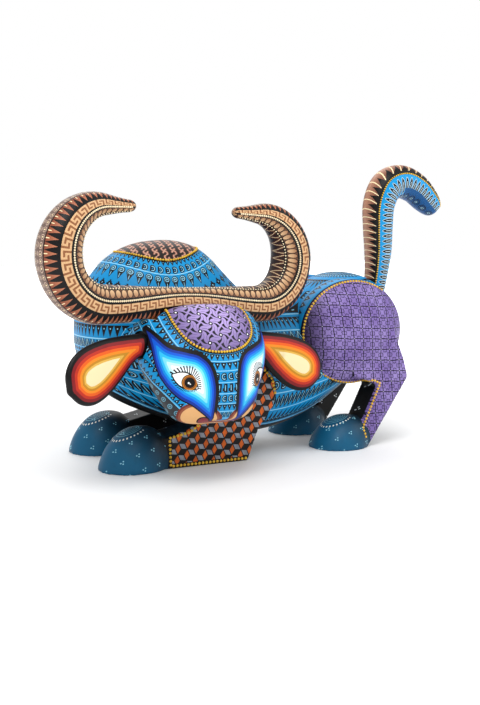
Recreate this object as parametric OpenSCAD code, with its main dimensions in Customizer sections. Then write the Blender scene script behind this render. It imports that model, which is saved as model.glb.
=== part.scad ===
// Carved and painted alebrije of a crouching horned bull.
// The bull faces -X, its left side is -Y, and it rests on Z = 0.
// Millimetres. The origin is under the middle of the whole figure.

/* [Body] */
// Length of the torso from chest to rump
torso_length = 254; // [230:1:270]
// Half width that the torso's stations are scaled by
torso_half_width = 44; // [38:0.5:45]
// Thickness of each leg plate, measured across the body
leg_thickness = 25; // [20:1:26]
// Distance from the middle plane to the flat inner face of each leg
leg_inner = 22; // [20:0.5:24]
// Distance from the middle plane to the middle of each hoof
hoof_spread = 32.5; // [30:0.5:36]
// Half length of a front hoof
hoof_half_length = 24; // [20:0.5:26]
// Half width of a front hoof
hoof_half_width = 22; // [18:0.5:24]
// Height of a front hoof
hoof_height = 29; // [24:0.5:31]

/* [Head] */
// Turn of the head to the bull's left, from square across the body
head_turn = 12; // [8:1:14]
// Sideways tilt of the head
head_tilt = 2.6; // [0:0.1:4]
// Height of the flat that the horns stand on
horn_seat = 105; // [104:0.5:106]
// Length of an ear from its seat to its far edge
ear_length = 64; // [54:1:66]
// Upward slope of the ear pegs
ear_peg_slope = 8; // [6:1:10]

/* [Horns] */
// Half length of the straight bar across the head
bar_half = 62; // [58:1:64]
// Radius of the curl on each side
curl_radius = 31; // [29:0.5:33]
// Thickest radius of the horns
horn_radius = 14.2; // [12:0.1:14.4]
// Length of the straight tip after the curl
tip_length = 23; // [16:1:25]

/* [Tail] */
// Height of the flat that the tail stands on
tail_seat = 110; // [108:0.5:112]
// Thickness of the tail near its top
tail_thickness = 26; // [22:0.5:28]

/* [Pegs] */
// Radius of the loose pegs of the tail, ears and horns
peg_radius = 3.5; // [3:0.1:4]
// Radius of the glued dowels of the legs
dowel_radius = 4; // [3:0.1:4.5]
// Radius of the glued dowel of the neck
neck_dowel_radius = 6; // [4:0.1:7]
// Clearance round a loose peg
peg_clearance = 0.05; // [0.02:0.01:0.1]
// Gap under a piece that lifts or turns
seat_gap = 0.3; // [0.2:0.05:0.5]

/* [Hidden] */
$fn = 48;

// The torso's middle plane is Y = 0 in the body frame. The part frame moves
// that frame so that the origin is under the middle of the figure.
body_shift = [-19.86, 30.35, 0];
head_origin = [-47.5, -60.5, 0];
front_hoof_x = -80;
hind_hoof_x = 85.5;
// The size of each hoof, as shares of the hoof's half length, half width and height.
front_hoof_share = [1, 1, 1];
hind_hoof_share = [0.95, 0.98, 0.81];

torso_middle = 20;
torso_sides = 32;
// Torso stations at equal steps of a half turn from chest to rump:
// top, bottom, and half width as a share of torso_half_width.
torso_stations = [
    [93, 89, 0.02],
    [121, 63, 0.56],
    [144, 45, 0.86],
    [154.5, 31, 0.98],
    [150, 19, 1],
    [117, 12, 0.96],
    [118, 19, 0.91],
    [129, 39, 0.88],
    [126, 62, 0.75],
    [114, 84, 0.43],
    [101, 97, 0.02]
];

// Head stations from the crown to the muzzle: face forward and up, jaw
// forward and up, half width, and how far the middle drifts to the left.
head_stations = [
    [-7, 109, -9, 108, 1, 2],
    [16, 115, -22, 92, 41, 3],
    [29, 108, -14, 78, 47, 2.5],
    [39, 97, -4, 66, 46.5, 1],
    [46, 84, 7, 55, 42, -1.5],
    [50, 70, 18, 46.5, 36, -5],
    [51, 58, 31, 41, 31, -8],
    [48, 47, 40, 40.5, 20, -9],
    [46, 43.5, 44, 43, 1, -9]
];
// The flat back of the head, behind the middle of the horns, and how far the
// ledge that the horns stand on reaches in front of that middle.
head_back = 5;
ledge_front = 13.4;
head_sides = 32;

// Neck rings in the head's turn: distance back and share of the full size.
neck_rings = [[35, 1], [20, 1], [head_back, 0.84]];
neck_half_width = 36;
neck_half_height = 18;
neck_height = 88;
neck_dowel_height = 90;
dowel_length = 26;

bar_height = 114;
horn_sides = 16;
horn_step = 4.5;
horn_tip_round = 5;
horn_shift = -6.8;
horn_half = bar_half + PI * curl_radius + tip_length;
// Radius from the middle of the horns to a tip: share of the way, share of horn_radius.
horn_stations = [
    [0, 0.77], [0.27, 0.85], [0.46, 0.97], [0.62, 1], [0.75, 0.81], [0.87, 0.5], [0.94, 0.33], [1, 0.25]
];
horn_peg_spacing = 36;
horn_peg_bottom = 92;

// Ear stations along the ear: distance from the seat, half width, half thickness.
ear_seat = [43.5, -7, 88];
ear_sweep = 13;
ear_stations = [
    [0, 8, 8],
    [0.08, 8, 7.4],
    [0.2, 10, 6],
    [0.4, 14.6, 4.8],
    [0.62, 17.6, 4.6],
    [0.8, 16.6, 4.4],
    [0.93, 11, 3.6],
    [1, 1.5, 1]
];
ear_droop = 28;
ear_peg_length = 22;
ear_sides = 24;
ear_spot_radius = 9.5;

// The tail's seat. Its centreline starts just below there and is cut flat at the seat.
tail_root = [136.5, 0, tail_seat];
tail_peg_length = 28;
tail_sides = 20;
tail_spot_radius = 10;
// Tail centreline to its tip: X and Z from the seat, and half width as a share.
tail_stations = [
    [-0.5, -3, 0.31],
    [2.5, 16, 0.35],
    [4, 34, 0.41],
    [3.6, 54, 0.45],
    [4.2, 71, 0.48],
    [11, 85, 0.5],
    [23.5, 89, 0.5],
    [37, 84.5, 0.47],
    [48, 75.5, 0.42],
    [56, 68.5, 0.3],
    [59, 66, 0.04]
];

arm_outline = [
    [-62, 0], [2, 0], [11, 23], [22, 37], [25.5, 47], [23, 58], [14, 68], [2, 73],
    [-11, 70], [-21, 60], [-25, 46], [-31, 34], [-44, 26], [-62, 22]
];
shank_outline = [
    [96, 74], [125, 88], [135, 64], [138.5, 51], [104, 1], [98, 2], [96, 14],
    [112, 46], [104, 50], [90, 54]
];
haunch_middle = [94, 86.5];
haunch_half = [44.5, 39.5];
haunch_base_depth = 12;
haunch_dome_depth = leg_thickness + 3 - haunch_base_depth;
shank_inset = 1;
hoof_lean = 6;
hoof_sides = 28;

// Large enough for a cut to leave nothing of a piece beyond it.
cut_size = 200;

function mix(a, b, t) = a + (b - a) * t;
function unit(v) = v / norm(v);
function power(v, e) = sign(v) * pow(abs(v), e);

// A smooth curve through rows of numbers, with `steps` rows for each gap.
function bend(p, q, r, s, t) =
    (2 * q + (r - p) * t + (2 * p - 5 * q + 4 * r - s) * t * t
    + (3 * q - p - 3 * r + s) * t * t * t) / 2;
function smooth(rows, steps) = let (last = len(rows) - 1) [
    for (i = [0:last - 1], j = [0:steps - 1]) bend(
        i == 0 ? 2 * rows[0] - rows[1] : rows[i - 1],
        rows[i],
        rows[i + 1],
        i + 2 > last ? 2 * rows[last] - rows[last - 1] : rows[i + 2],
        j / steps
    ),
    rows[last]
];

// A closed ring about a middle, spanned by two half axes. A higher
// squareness squares the ring, and taper narrows its second-axis side.
function ring(middle, half_a, half_b, sides, squareness = 2, taper = 0) = [
    for (i = [0:sides - 1])
        let (
            turn = 360 * (i + 0.5) / sides,
            across = power(cos(turn), 2 / squareness),
            along = power(sin(turn), 2 / squareness)
        )
        middle + half_a * across * (1 - taper * along) + half_b * along
];

// A closed solid through rings that all have the same number of points. The
// rings are listed backwards where their turn would put the solid inside out.
module skin(rings) {
    sides = len(rings[0]);
    last = len(rings) - 1;
    quarter = floor(sides / 4);
    start = rings[0];
    facing = cross(start[quarter] - start[0], start[2 * quarter] - start[quarter]);
    forward = facing * (rings[1][0] - start[0] + rings[1][2 * quarter] - start[2 * quarter]) > 0;
    ordered = [for (i = [0:last]) rings[forward ? i : last - i]];
    walls = [
        for (i = [0:last - 1], j = [0:sides - 1])
            let (a = i * sides + j, b = i * sides + (j + 1) % sides)
            each [[a, b + sides, b], [a, a + sides, b + sides]]
    ];
    ends = [
        for (j = [1:sides - 2])
            each [[0, j, j + 1], [last * sides, last * sides + j + 1, last * sides + j]]
    ];
    polyhedron([for (r = ordered) each r], concat(walls, ends), convexity = 8);
}

// A solid swept along points in a plane whose normal is `side`, with the
// half size across the path and the half size along `side` at each point.
module sweep(points, halves, depths, side, sides) {
    last = len(points) - 1;
    skin([
        for (i = [0:last])
            let (
                ahead = unit(points[min(i + 1, last)] - points[max(i - 1, 0)]),
                across = cross(side, ahead)
            )
            ring(points[i], across * halves[i], side * depths[i], sides)
    ]);
}

module in_part_frame() {
    translate(body_shift) children();
}

// The head's own frame has its face towards -Y, X to the head's left, and Z up.
module head_to_body() {
    translate(head_origin + [0, 0, bar_height])
        rotate([0, head_tilt, head_turn])
            translate([0, 0, -bar_height])
                children();
}

module in_head_frame() {
    in_part_frame() head_to_body() children();
}

// The ear's own frame has +X along the ear peg, away from the head.
module ear_to_head(left) {
    mirror([left ? 0 : 1, 0, 0])
        translate(ear_seat)
            rotate([0, -ear_peg_slope, 0])
                children();
}

// A peg or bore along Z, centred on the origin of its frame.
module rod(radius, length) {
    cylinder(r = radius, h = length, center = true);
}

module torso_blank() {
    stations = smooth(torso_stations, 4);
    count = len(stations) - 1;
    skin([
        for (i = [0:count])
            let (
                s = stations[i],
                x = torso_middle - torso_length / 2 * cos(180 * i / count)
            )
            ring(
                [x, 0, (s[0] + s[1]) / 2],
                [0, -s[2] * torso_half_width, 0],
                [0, 0, (s[0] - s[1]) / 2],
                torso_sides, 2.1, 0.06
            )
    ]);
}

module neck_blank() {
    translate(head_origin)
        rotate([0, 0, head_turn])
            skin([
                for (s = neck_rings)
                    ring(
                        [0, s[0], neck_height],
                        [neck_half_width * s[1], 0, 0],
                        [0, 0, neck_half_height * s[1]],
                        head_sides
                    )
            ]);
}

module head_blank() {
    skin([
        for (s = smooth(head_stations, 3))
            ring(
                [s[5], -(s[0] + s[2]) / 2, (s[1] + s[3]) / 2],
                [s[4], 0, 0],
                [0, -(s[0] - s[2]) / 2, (s[1] - s[3]) / 2],
                head_sides, 2.3, 0.1
            )
    ]);
}

module arm_plate() {
    translate([0, -leg_inner, 0])
        rotate([90, 0, 0])
            linear_extrude(leg_thickness)
                polygon(arm_outline);
}

module shank_plate() {
    translate([0, -leg_inner - shank_inset, 0])
        rotate([90, 0, 0])
            linear_extrude(leg_thickness - shank_inset)
                polygon(shank_outline);
}

function haunch_outline() =
    [for (i = [0:35]) haunch_middle + [haunch_half.x * cos(i * 10), haunch_half.y * sin(i * 10)]];

// The haunch: straight sides against the torso, then a rounded muscle outside them.
module haunch() {
    skin([
        for (place = concat([[-haunch_base_depth / haunch_dome_depth, 0]], [
            for (turn = [0, 20, 38, 53, 65, 75, 83, 88]) [pow(sin(turn), 1.2), turn]
        ]))
            [
                for (corner = haunch_outline())
                    let (spot = mix(haunch_middle, corner, pow(cos(place.y), 0.8)))
                    [spot.x, -leg_inner - haunch_base_depth - haunch_dome_depth * place.x, spot.y]
            ]
    ]);
}

// A flat-bottomed hoof whose top leans back towards the leg.
module hoof(x, size) {
    skin([
        for (turn = [0, 10, 22, 34, 46, 58, 68, 77, 85])
            let (share = pow(cos(turn), 0.85))
            ring(
                [x + hoof_lean * sin(turn), -hoof_spread, hoof_height * size.z * sin(turn)],
                [hoof_half_length * size.x * share, 0, 0],
                [0, hoof_half_width * size.y * share, 0],
                hoof_sides
            )
    ]);
}

module front_leg_shape() {
    arm_plate();
    hoof(front_hoof_x, front_hoof_share);
}

module hind_leg_shape() {
    haunch();
    shank_plate();
    hoof(hind_hoof_x, hind_hoof_share);
}

// Two dowels across the flat inner face of a leg.
module leg_dowels(places) {
    for (place = places)
        translate([place.x, -leg_inner, place.y])
            rotate([90, 0, 0])
                rod(dowel_radius, dowel_length);
}

front_dowel_places = [[2, 58], [-6, 38]];
hind_dowel_places = [[80, 92], [104, 84]];

module both_sides() {
    children();
    mirror([0, 1, 0]) children();
}

module horn_peg_rods(radius) {
    length = bar_height - horn_peg_bottom;
    for (side = [-1, 1])
        translate([side * horn_peg_spacing / 2, 0, horn_peg_bottom + length / 2])
            rod(radius, length);
}

module ear_peg_rod(radius) {
    rotate([0, 90, 0]) rod(radius, ear_peg_length);
}

module tail_peg_rod(radius) {
    translate(tail_root) rod(radius, tail_peg_length);
}

module neck_dowel_rod() {
    translate([0, head_back, neck_dowel_height])
        rotate([90, 0, 0])
            rod(neck_dowel_radius, dowel_length);
}

// The place on the horns at a distance from the middle, measured along the horn.
function horn_place(d) =
    let (side = sign(d), run = abs(d), turn = (run - bar_half) / curl_radius * 180 / PI)
    [horn_shift, 0, bar_height] + (
        run < bar_half ? [d, 0, 0]
        : turn < 180 ? [
            side * (bar_half + curl_radius * sin(turn)), 0,
            curl_radius * (1 - cos(turn))
        ]
        : [side * (horn_half - run + bar_half - tip_length), 0, 2 * curl_radius]
    );

// Closer steps near both ends, so that the tips come out round.
function ease_ends(t) = mix(t, sin(90 * t), 0.35);

// The radius of the horns at that distance: thick in the curls, and rounded off at the tips.
function horn_size(d) =
    let (
        run = abs(d),
        tip = sqrt(1 - pow(max(0.03, 1 - (horn_half - run) / horn_tip_round) - 0.03, 2))
    )
    horn_radius * lookup(run / horn_half, smooth(horn_stations, 6)) * tip;

// How far each station of the ear has gone along X and Z, by adding up the steps before it.
function ear_reach(last) = last == 0 ? [0, 0] :
    let (
        step = (ear_stations[last][0] - ear_stations[last - 1][0]) * ear_length,
        angle = mix(ear_angle(last), ear_angle(last - 1), 0.5)
    )
    ear_reach(last - 1) + step * [cos(angle), sin(angle)];

// The slope of the ear at a station: it bends down over its first quarter.
function ear_angle(i) = -ear_droop * min(1, ear_stations[i][0] / 0.25) - ear_peg_slope;

// A teardrop blade that leaves its round seat and droops.
module ear_blank() {
    rows = smooth([
        for (i = [0:len(ear_stations) - 1])
            let (s = ear_stations[i])
            concat(ear_reach(i), [s[1], s[2], i == 0 ? 0 : ear_angle(i)])
    ], 3);
    skin([
        for (row = rows)
            ring(
                [row[0], -ear_sweep * row[0] / ear_length, row[1]],
                [-row[2] * sin(row[4]), 0, row[2] * cos(row[4])],
                [0, row[3], 0],
                ear_sides
            )
    ]);
}

module tail_blank() {
    rows = smooth(tail_stations, 4);
    sweep(
        [for (row = rows) tail_root + [row[0], 0, row[1]]],
        [for (row = rows) row[2] * tail_thickness],
        [for (row = rows) row[2] * tail_thickness],
        [0, 1, 0],
        tail_sides
    );
}

module torso() {
    color("deepskyblue")
        in_part_frame()
            difference() {
                union() {
                    torso_blank();
                    neck_blank();
                }
                both_sides() arm_plate();
                both_sides() haunch();
                both_sides() shank_plate();
                both_sides() leg_dowels(front_dowel_places);
                both_sides() leg_dowels(hind_dowel_places);
                tail_peg_rod(peg_radius + peg_clearance);
                translate(tail_root) cylinder(r = tail_spot_radius, h = cut_size);
                head_to_body() neck_dowel_rod();
            }
}

module head() {
    color("royalblue")
        in_head_frame()
            difference() {
                head_blank();
                translate([-cut_size / 2, head_back, 0]) cube(cut_size);
                translate([-cut_size / 2, -ledge_front, horn_seat]) cube(cut_size);
                horn_peg_rods(peg_radius + peg_clearance);
                neck_dowel_rod();
                for (left = [true, false])
                    ear_to_head(left) {
                        ear_peg_rod(peg_radius + peg_clearance);
                        rotate([0, 90, 0]) cylinder(r = ear_spot_radius, h = cut_size / 10);
                    }
            }
}

module horns() {
    steps = round(2 * horn_half / horn_step);
    distances = [for (i = [0:steps]) horn_half * ease_ends(2 * i / steps - 1)];
    sizes = [for (d = distances) horn_size(d)];
    color("burlywood")
        in_head_frame()
            difference() {
                sweep([for (d = distances) horn_place(d)], sizes, sizes, [0, 1, 0], horn_sides);
                translate([-cut_size / 4, -cut_size / 4, 0])
                    cube([cut_size / 2, cut_size / 2, horn_seat + seat_gap]);
                horn_peg_rods(peg_radius + peg_clearance);
            }
}

module ear(left) {
    color(left ? "gold" : "darkorange")
        in_head_frame()
            ear_to_head(left)
                difference() {
                    translate([seat_gap, 0, 0]) ear_blank();
                    ear_peg_rod(peg_radius + peg_clearance);
                }
}

module ear_left() {
    ear(true);
}

module ear_right() {
    ear(false);
}

module tail() {
    color("saddlebrown")
        in_part_frame()
            difference() {
                tail_blank();
                tail_peg_rod(peg_radius + peg_clearance);
                translate(tail_root + [-cut_size / 2, -cut_size / 2, seat_gap - cut_size])
                    cube(cut_size);
            }
}

module front_leg(left) {
    color("darkslategray")
        in_part_frame()
            mirror([0, left ? 0 : 1, 0])
                difference() {
                    front_leg_shape();
                    leg_dowels(front_dowel_places);
                }
}

module hind_leg(left) {
    color("mediumpurple")
        in_part_frame()
            mirror([0, left ? 0 : 1, 0])
                difference() {
                    hind_leg_shape();
                    leg_dowels(hind_dowel_places);
                }
}

module front_leg_left() {
    front_leg(true);
}

module front_leg_right() {
    front_leg(false);
}

module hind_leg_left() {
    hind_leg(true);
}

module hind_leg_right() {
    hind_leg(false);
}

module horn_pegs() {
    color("tan") in_head_frame() horn_peg_rods(peg_radius);
}

module ear_peg_left() {
    color("tan") in_head_frame() ear_to_head(true) ear_peg_rod(peg_radius);
}

module ear_peg_right() {
    color("tan") in_head_frame() ear_to_head(false) ear_peg_rod(peg_radius);
}

module tail_peg() {
    color("tan") in_part_frame() tail_peg_rod(peg_radius);
}

module neck_dowel() {
    color("tan") in_head_frame() neck_dowel_rod();
}

module dowels(left, places) {
    color("tan") in_part_frame() mirror([0, left ? 0 : 1, 0]) leg_dowels(places);
}

module front_leg_left_dowels() {
    dowels(true, front_dowel_places);
}

module front_leg_right_dowels() {
    dowels(false, front_dowel_places);
}

module hind_leg_left_dowels() {
    dowels(true, hind_dowel_places);
}

module hind_leg_right_dowels() {
    dowels(false, hind_dowel_places);
}

torso();
head();
horns();
ear_left();
ear_right();
tail();
front_leg_left();
front_leg_right();
hind_leg_left();
hind_leg_right();
horn_pegs();
ear_peg_left();
ear_peg_right();
tail_peg();
neck_dowel();
front_leg_left_dowels();
front_leg_right_dowels();
hind_leg_left_dowels();
hind_leg_right_dowels();
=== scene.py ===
"""A carved and painted alebrije of a crouching horned bull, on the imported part's frame.

Metres. The bull faces -X, its left side is -Y and it rests on Z = 0. Shapes and patterns are worked out
in millimetres in the bull's own frame, whose origin is on the floor under the middle plane of its torso.
"""
import math

import bmesh
import bpy
import numpy as np
from mathutils import Matrix, Vector
from mathutils.bvhtree import BVHTree


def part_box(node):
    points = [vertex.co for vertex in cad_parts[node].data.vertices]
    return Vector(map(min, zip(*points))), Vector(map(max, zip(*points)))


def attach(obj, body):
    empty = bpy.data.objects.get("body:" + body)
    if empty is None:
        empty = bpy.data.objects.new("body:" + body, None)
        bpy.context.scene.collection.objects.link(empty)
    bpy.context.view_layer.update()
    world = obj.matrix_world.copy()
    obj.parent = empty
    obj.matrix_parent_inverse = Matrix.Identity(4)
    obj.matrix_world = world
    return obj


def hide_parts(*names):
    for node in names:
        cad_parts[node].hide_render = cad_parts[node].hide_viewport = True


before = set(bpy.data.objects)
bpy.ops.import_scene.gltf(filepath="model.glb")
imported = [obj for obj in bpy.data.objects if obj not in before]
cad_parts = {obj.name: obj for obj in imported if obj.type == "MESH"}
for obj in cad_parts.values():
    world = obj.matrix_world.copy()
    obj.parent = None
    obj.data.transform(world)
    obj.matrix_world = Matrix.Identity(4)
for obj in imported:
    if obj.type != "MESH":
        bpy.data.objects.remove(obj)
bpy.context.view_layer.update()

MM = 0.001
TORSO_MIDDLE = 20
torso_low, torso_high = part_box("torso")
left_low, right_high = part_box("hind_leg_left")[0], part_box("hind_leg_right")[1]
BULL_ORIGIN = np.array([
    (torso_low.x + torso_high.x) / 2 - TORSO_MIDDLE * MM, (left_low.y + right_high.y) / 2, 0,
])


# ---------------------------------------------------------------- shapes

def smooth(rows, steps):
    """A smooth curve through rows of numbers, with `steps` rows for each gap."""
    rows = np.array(rows, float)
    padded = np.vstack([2 * rows[0] - rows[1], rows, 2 * rows[-1] - rows[-2]])
    share = np.arange(steps)[:, None] / steps
    gaps = []
    for p, q, r, s in zip(padded, padded[1:], padded[2:], padded[3:]):
        gaps.append((2 * q + (r - p) * share + (2 * p - 5 * q + 4 * r - s) * share ** 2
                     + (3 * q - p - 3 * r + s) * share ** 3) / 2)
    return np.vstack(gaps + [rows[-1:]])


def power(value, exponent):
    return np.sign(value) * np.abs(value) ** exponent


def ring(middle, half_a, half_b, turns, squareness=2.0, taper=0.0):
    """Points at `turns` round a middle, spanned by two half axes."""
    across = power(np.cos(turns), 2 / squareness)
    along = power(np.sin(turns), 2 / squareness)
    return np.array(middle) + np.outer(across * (1 - taper * along), half_a) + np.outer(along, half_b)


def turns_from(start, sides):
    return start + np.arange(sides) * 2 * np.pi / sides


def turned(axis, degrees):
    return np.array(Matrix.Rotation(math.radians(degrees), 3, axis))


def to_metres(points):
    """From millimetres in the bull's frame to metres in the part's frame."""
    return np.asarray(points) * MM + BULL_ORIGIN


def mesh_object(name, points, faces):
    mesh = bpy.data.meshes.new(name)
    mesh.from_pydata(np.asarray(points).tolist(), [], faces)
    made = bpy.data.objects.new(name, mesh)
    bpy.context.scene.collection.objects.link(made)
    return made


def loft(name, grid, facts=None, cyclic=()):
    """A closed mesh through rows of points in the bull's frame. `facts` are sets of three numbers per
    point, for the paint to read. A cyclic fact counts turns, so it may jump by whole numbers."""
    rows, sides = grid.shape[:2]
    faces = []
    for i in range(rows - 1):
        for j in range(sides):
            after = (j + 1) % sides
            faces.append((i * sides + j, i * sides + after, (i + 1) * sides + after, (i + 1) * sides + j))
    faces.append(tuple(range(sides)))
    faces.append(tuple(range((rows - 1) * sides, rows * sides)))
    made = mesh_object(name, to_metres(grid.reshape(-1, 3)), faces)
    order = np.concatenate(faces)
    starts = np.concatenate([[face[0]] * len(face) for face in faces])
    for fact, values in (facts or {}).items():
        values = values.reshape(-1, 3)
        corners = values[order]
        if fact in cyclic:
            corners = corners - np.round(corners - values[starts])
        layer = made.data.attributes.new(fact, "FLOAT_VECTOR", "CORNER")
        layer.data.foreach_set("vector", corners.astype(np.float32).ravel())
    work = bmesh.new()
    work.from_mesh(made.data)
    bmesh.ops.recalc_face_normals(work, faces=work.faces)
    work.to_mesh(made.data)
    work.free()
    made.data.shade_smooth()
    return made


def apply_modifiers(made):
    graph = bpy.context.evaluated_depsgraph_get()
    made.data = bpy.data.meshes.new_from_object(made.evaluated_get(graph))
    made.modifiers.clear()


def cut(made, cutters, finish):
    """Takes the cutters' volumes out of a piece. The cut faces get the cutter's material, or `finish`."""
    for cutter in cutters:
        if not cutter.data.materials:
            cutter.data.materials.append(finish)
        cut_finish = cutter.data.materials[0]
        if cut_finish.name not in made.data.materials:
            made.data.materials.append(cut_finish)
        modifier = made.modifiers.new("cut", "BOOLEAN")
        modifier.operation = "DIFFERENCE"
        modifier.solver = "EXACT"
        modifier.object = cutter
    apply_modifiers(made)
    for cutter in cutters:
        bpy.data.objects.remove(cutter)
    made.data.set_sharp_from_angle(angle=math.radians(40))


def rod_points(middle, axis, radius, length, sides=48):
    """The two end rings of a rod in the bull's frame."""
    axis = Vector(axis).normalized()
    half_a = np.array(axis.orthogonal().normalized())
    half_b = np.cross(axis, half_a)
    ends = [np.array(middle) + np.array(axis) * length * end for end in (-0.5, 0.5)]
    return np.array([ring(end, half_a * radius, half_b * radius, turns_from(0, sides)) for end in ends])


def block_points(low, high):
    """The two end rings of a box."""
    (x0, y0, z0), (x1, y1, z1) = low, high
    return np.array([[(x0, y0, z), (x1, y0, z), (x1, y1, z), (x0, y1, z)] for z in (z0, z1)], float)


# ---------------------------------------------------------------- paint

def rgb(code):
    """A linear colour from a six-digit sRGB code."""
    shares = [int(code[i:i + 2], 16) / 255 for i in (0, 2, 4)]
    return tuple(s / 12.92 if s <= 0.04045 else ((s + 0.055) / 1.055) ** 2.4 for s in shares) + (1.0,)


BLACK = rgb("0b090a")
AZURE = rgb("0489c6")
DEEP_AZURE = rgb("055f9e")
PALE_BLUE = rgb("8fd0ea")
CREAM = rgb("f4dfb0")
TAN = rgb("d0a48c")
RUST = rgb("8a5546")
WHITE = rgb("f2f4f2")


def arithmetic(kind, swapped=False):
    """A method of Value that works out one kind of sum. Swapped puts the value itself last."""
    def work_out(self, *others):
        values = (*others, self) if swapped else (self, *others)
        return self.paint.math(kind, *values)
    return work_out


class Value:
    """A number that a paint works out at each point. Arithmetic on it adds nodes to the paint."""

    def __init__(self, paint, socket):
        self.paint = paint
        self.socket = socket

    __add__ = __radd__ = arithmetic("ADD")
    __mul__ = __rmul__ = arithmetic("MULTIPLY")
    __sub__ = arithmetic("SUBTRACT")
    __rsub__ = arithmetic("SUBTRACT", swapped=True)
    __truediv__ = arithmetic("DIVIDE")
    __pow__ = arithmetic("POWER")
    __abs__ = arithmetic("ABSOLUTE")
    __lt__ = arithmetic("LESS_THAN")
    __gt__ = arithmetic("GREATER_THAN")
    __and__ = arithmetic("MINIMUM")
    __or__ = arithmetic("MAXIMUM")
    fract = arithmetic("FRACT")
    sin = arithmetic("SINE")
    sign = arithmetic("SIGN")

    def __neg__(self):
        return self * -1

    def clip(self):
        """The value, kept from 0 to 1."""
        return self.paint.math("ADD", self, 0, clamp=True)

    def cell(self, size):
        """The place in its own cell of a repeat, measured from the cell's middle."""
        return ((self / size).fract() - 0.5) * size

    def between(self, low, high):
        return (self > low) & (self < high)


class Paint:
    """A material built up in coats: each coat covers those before it where its mask is 1."""

    def __init__(self, name, ground, roughness=0.42, grain=0.12, wear=0.9):
        self.material = bpy.data.materials.new(name)
        self.material.use_nodes = True
        self.nodes = self.material.node_tree.nodes
        self.links = self.material.node_tree.links
        self.nodes.clear()
        self.colour = None
        self.ground = ground
        self.roughness = roughness
        self.grain = grain
        self.wear = wear

    def math(self, kind, *values, clamp=False):
        made = self.nodes.new("ShaderNodeMath")
        made.operation = kind
        made.use_clamp = clamp
        for socket, value in zip(made.inputs, values):
            if isinstance(value, Value):
                self.links.new(value.socket, socket)
            else:
                socket.default_value = value
        return Value(self, made.outputs[0])

    def _three(self, vector):
        split = self.nodes.new("ShaderNodeSeparateXYZ")
        self.links.new(vector, split.inputs[0])
        return [Value(self, split.outputs[i]) for i in range(3)]

    def fact(self, name):
        """The three numbers that a loft gave each point under this name."""
        made = self.nodes.new("ShaderNodeAttribute")
        made.attribute_name = name
        return self._three(made.outputs["Vector"])

    def place(self):
        """The point itself, in millimetres in the bull's frame."""
        made = self.nodes.new("ShaderNodeTexCoord")
        axes = self._three(made.outputs["Object"])
        return [(axis - float(start)) / MM for axis, start in zip(axes, BULL_ORIGIN)]

    def hypot(self, x, y):
        return (x * x + y * y) ** 0.5

    def angle(self, y, x):
        return self.math("ARCTAN2", y, x)

    def noise(self, size, detail=3.0, stretch=(1, 1, 1)):
        """Soft noise from 0 to 1 with features about `size` millimetres across."""
        place = self.nodes.new("ShaderNodeTexCoord")
        scaled = self.nodes.new("ShaderNodeMapping")
        scaled.inputs["Scale"].default_value = [s / (size * MM) for s in stretch]
        made = self.nodes.new("ShaderNodeTexNoise")
        made.inputs["Scale"].default_value = 1
        made.inputs["Detail"].default_value = detail
        self.links.new(place.outputs["Object"], scaled.inputs["Vector"])
        self.links.new(scaled.outputs["Vector"], made.inputs["Vector"])
        return Value(self, made.outputs["Fac"])

    def _mix(self, share, first, second):
        made = self.nodes.new("ShaderNodeMix")
        made.data_type = "RGBA"
        share_in, a, b = made.inputs[0], made.inputs[6], made.inputs[7]
        self.links.new(share.socket, share_in)
        for socket, colour in ((a, first), (b, second)):
            if isinstance(colour, tuple):
                socket.default_value = colour
            else:
                self.links.new(colour, socket)
        return made.outputs[2]

    def coat(self, mask, colour):
        below = self.ground if self.colour is None else self.colour
        self.colour = self._mix(mask, below, colour)

    def blend(self, share, first, second):
        """A colour between two others, for a shaded coat."""
        return self._mix(share, first, second)

    def finish(self):
        """Adds the wear and brush grain, and returns the material."""
        shader = self.nodes.new("ShaderNodeBsdfPrincipled")
        output = self.nodes.new("ShaderNodeOutputMaterial")
        self.coat((self.noise(9, 4) - 0.58).clip() * self.wear, BLACK)
        self.links.new(self.colour, shader.inputs["Base Color"])
        roughness = self.noise(3) * 0.22 + (self.roughness - 0.11)
        self.links.new(roughness.socket, shader.inputs["Roughness"])
        shader.inputs["Specular IOR Level"].default_value = 0.2
        bump = self.nodes.new("ShaderNodeBump")
        bump.inputs["Strength"].default_value = self.grain
        bump.inputs["Distance"].default_value = 0.3 * MM
        self.links.new(self.noise(1.6, 2).socket, bump.inputs["Height"])
        self.links.new(bump.outputs["Normal"], shader.inputs["Normal"])
        self.links.new(shader.outputs["BSDF"], output.inputs["Surface"])
        return self.material


# Motifs. Each takes a place in its cell, x from the cell's middle and y from its foot, and the cell's
# width and height, and gives the coats to lay on: a list of masks and colours. The numbers in a motif
# are shares of its cell.

def in_box(x, y, low_x, high_x, low_y, high_y):
    middle_x, middle_y = (low_x + high_x) / 2, (low_y + high_y) / 2
    return (abs(x - middle_x) < (high_x - low_x) / 2) & (abs(y - middle_y) < (high_y - low_y) / 2)


def triangles(x, y, w, h):
    fill = abs(x) < (h - y) * (0.52 * w / h)
    dot = x.paint.hypot(x, y - 0.3 * h) < 0.09 * w
    return [(fill & (y > 0.04 * h), BLACK), (dot, PALE_BLUE)]


def hanging_triangles(x, y, w, h):
    fill = abs(x) < y * (0.52 * w / h)
    dot = x.paint.hypot(x, y - 0.68 * h) < 0.09 * w
    return [(fill & (y < 0.95 * h), BLACK), (dot, PALE_BLUE)]


def spiral(x, y, pitch, radius):
    """A mask for a spiral line about the origin."""
    far = x.paint.hypot(x, y)
    turn = x.paint.angle(y, x) / (2 * math.pi)
    return ((far / pitch - turn).fract() < 0.42) & (far < radius)


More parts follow.
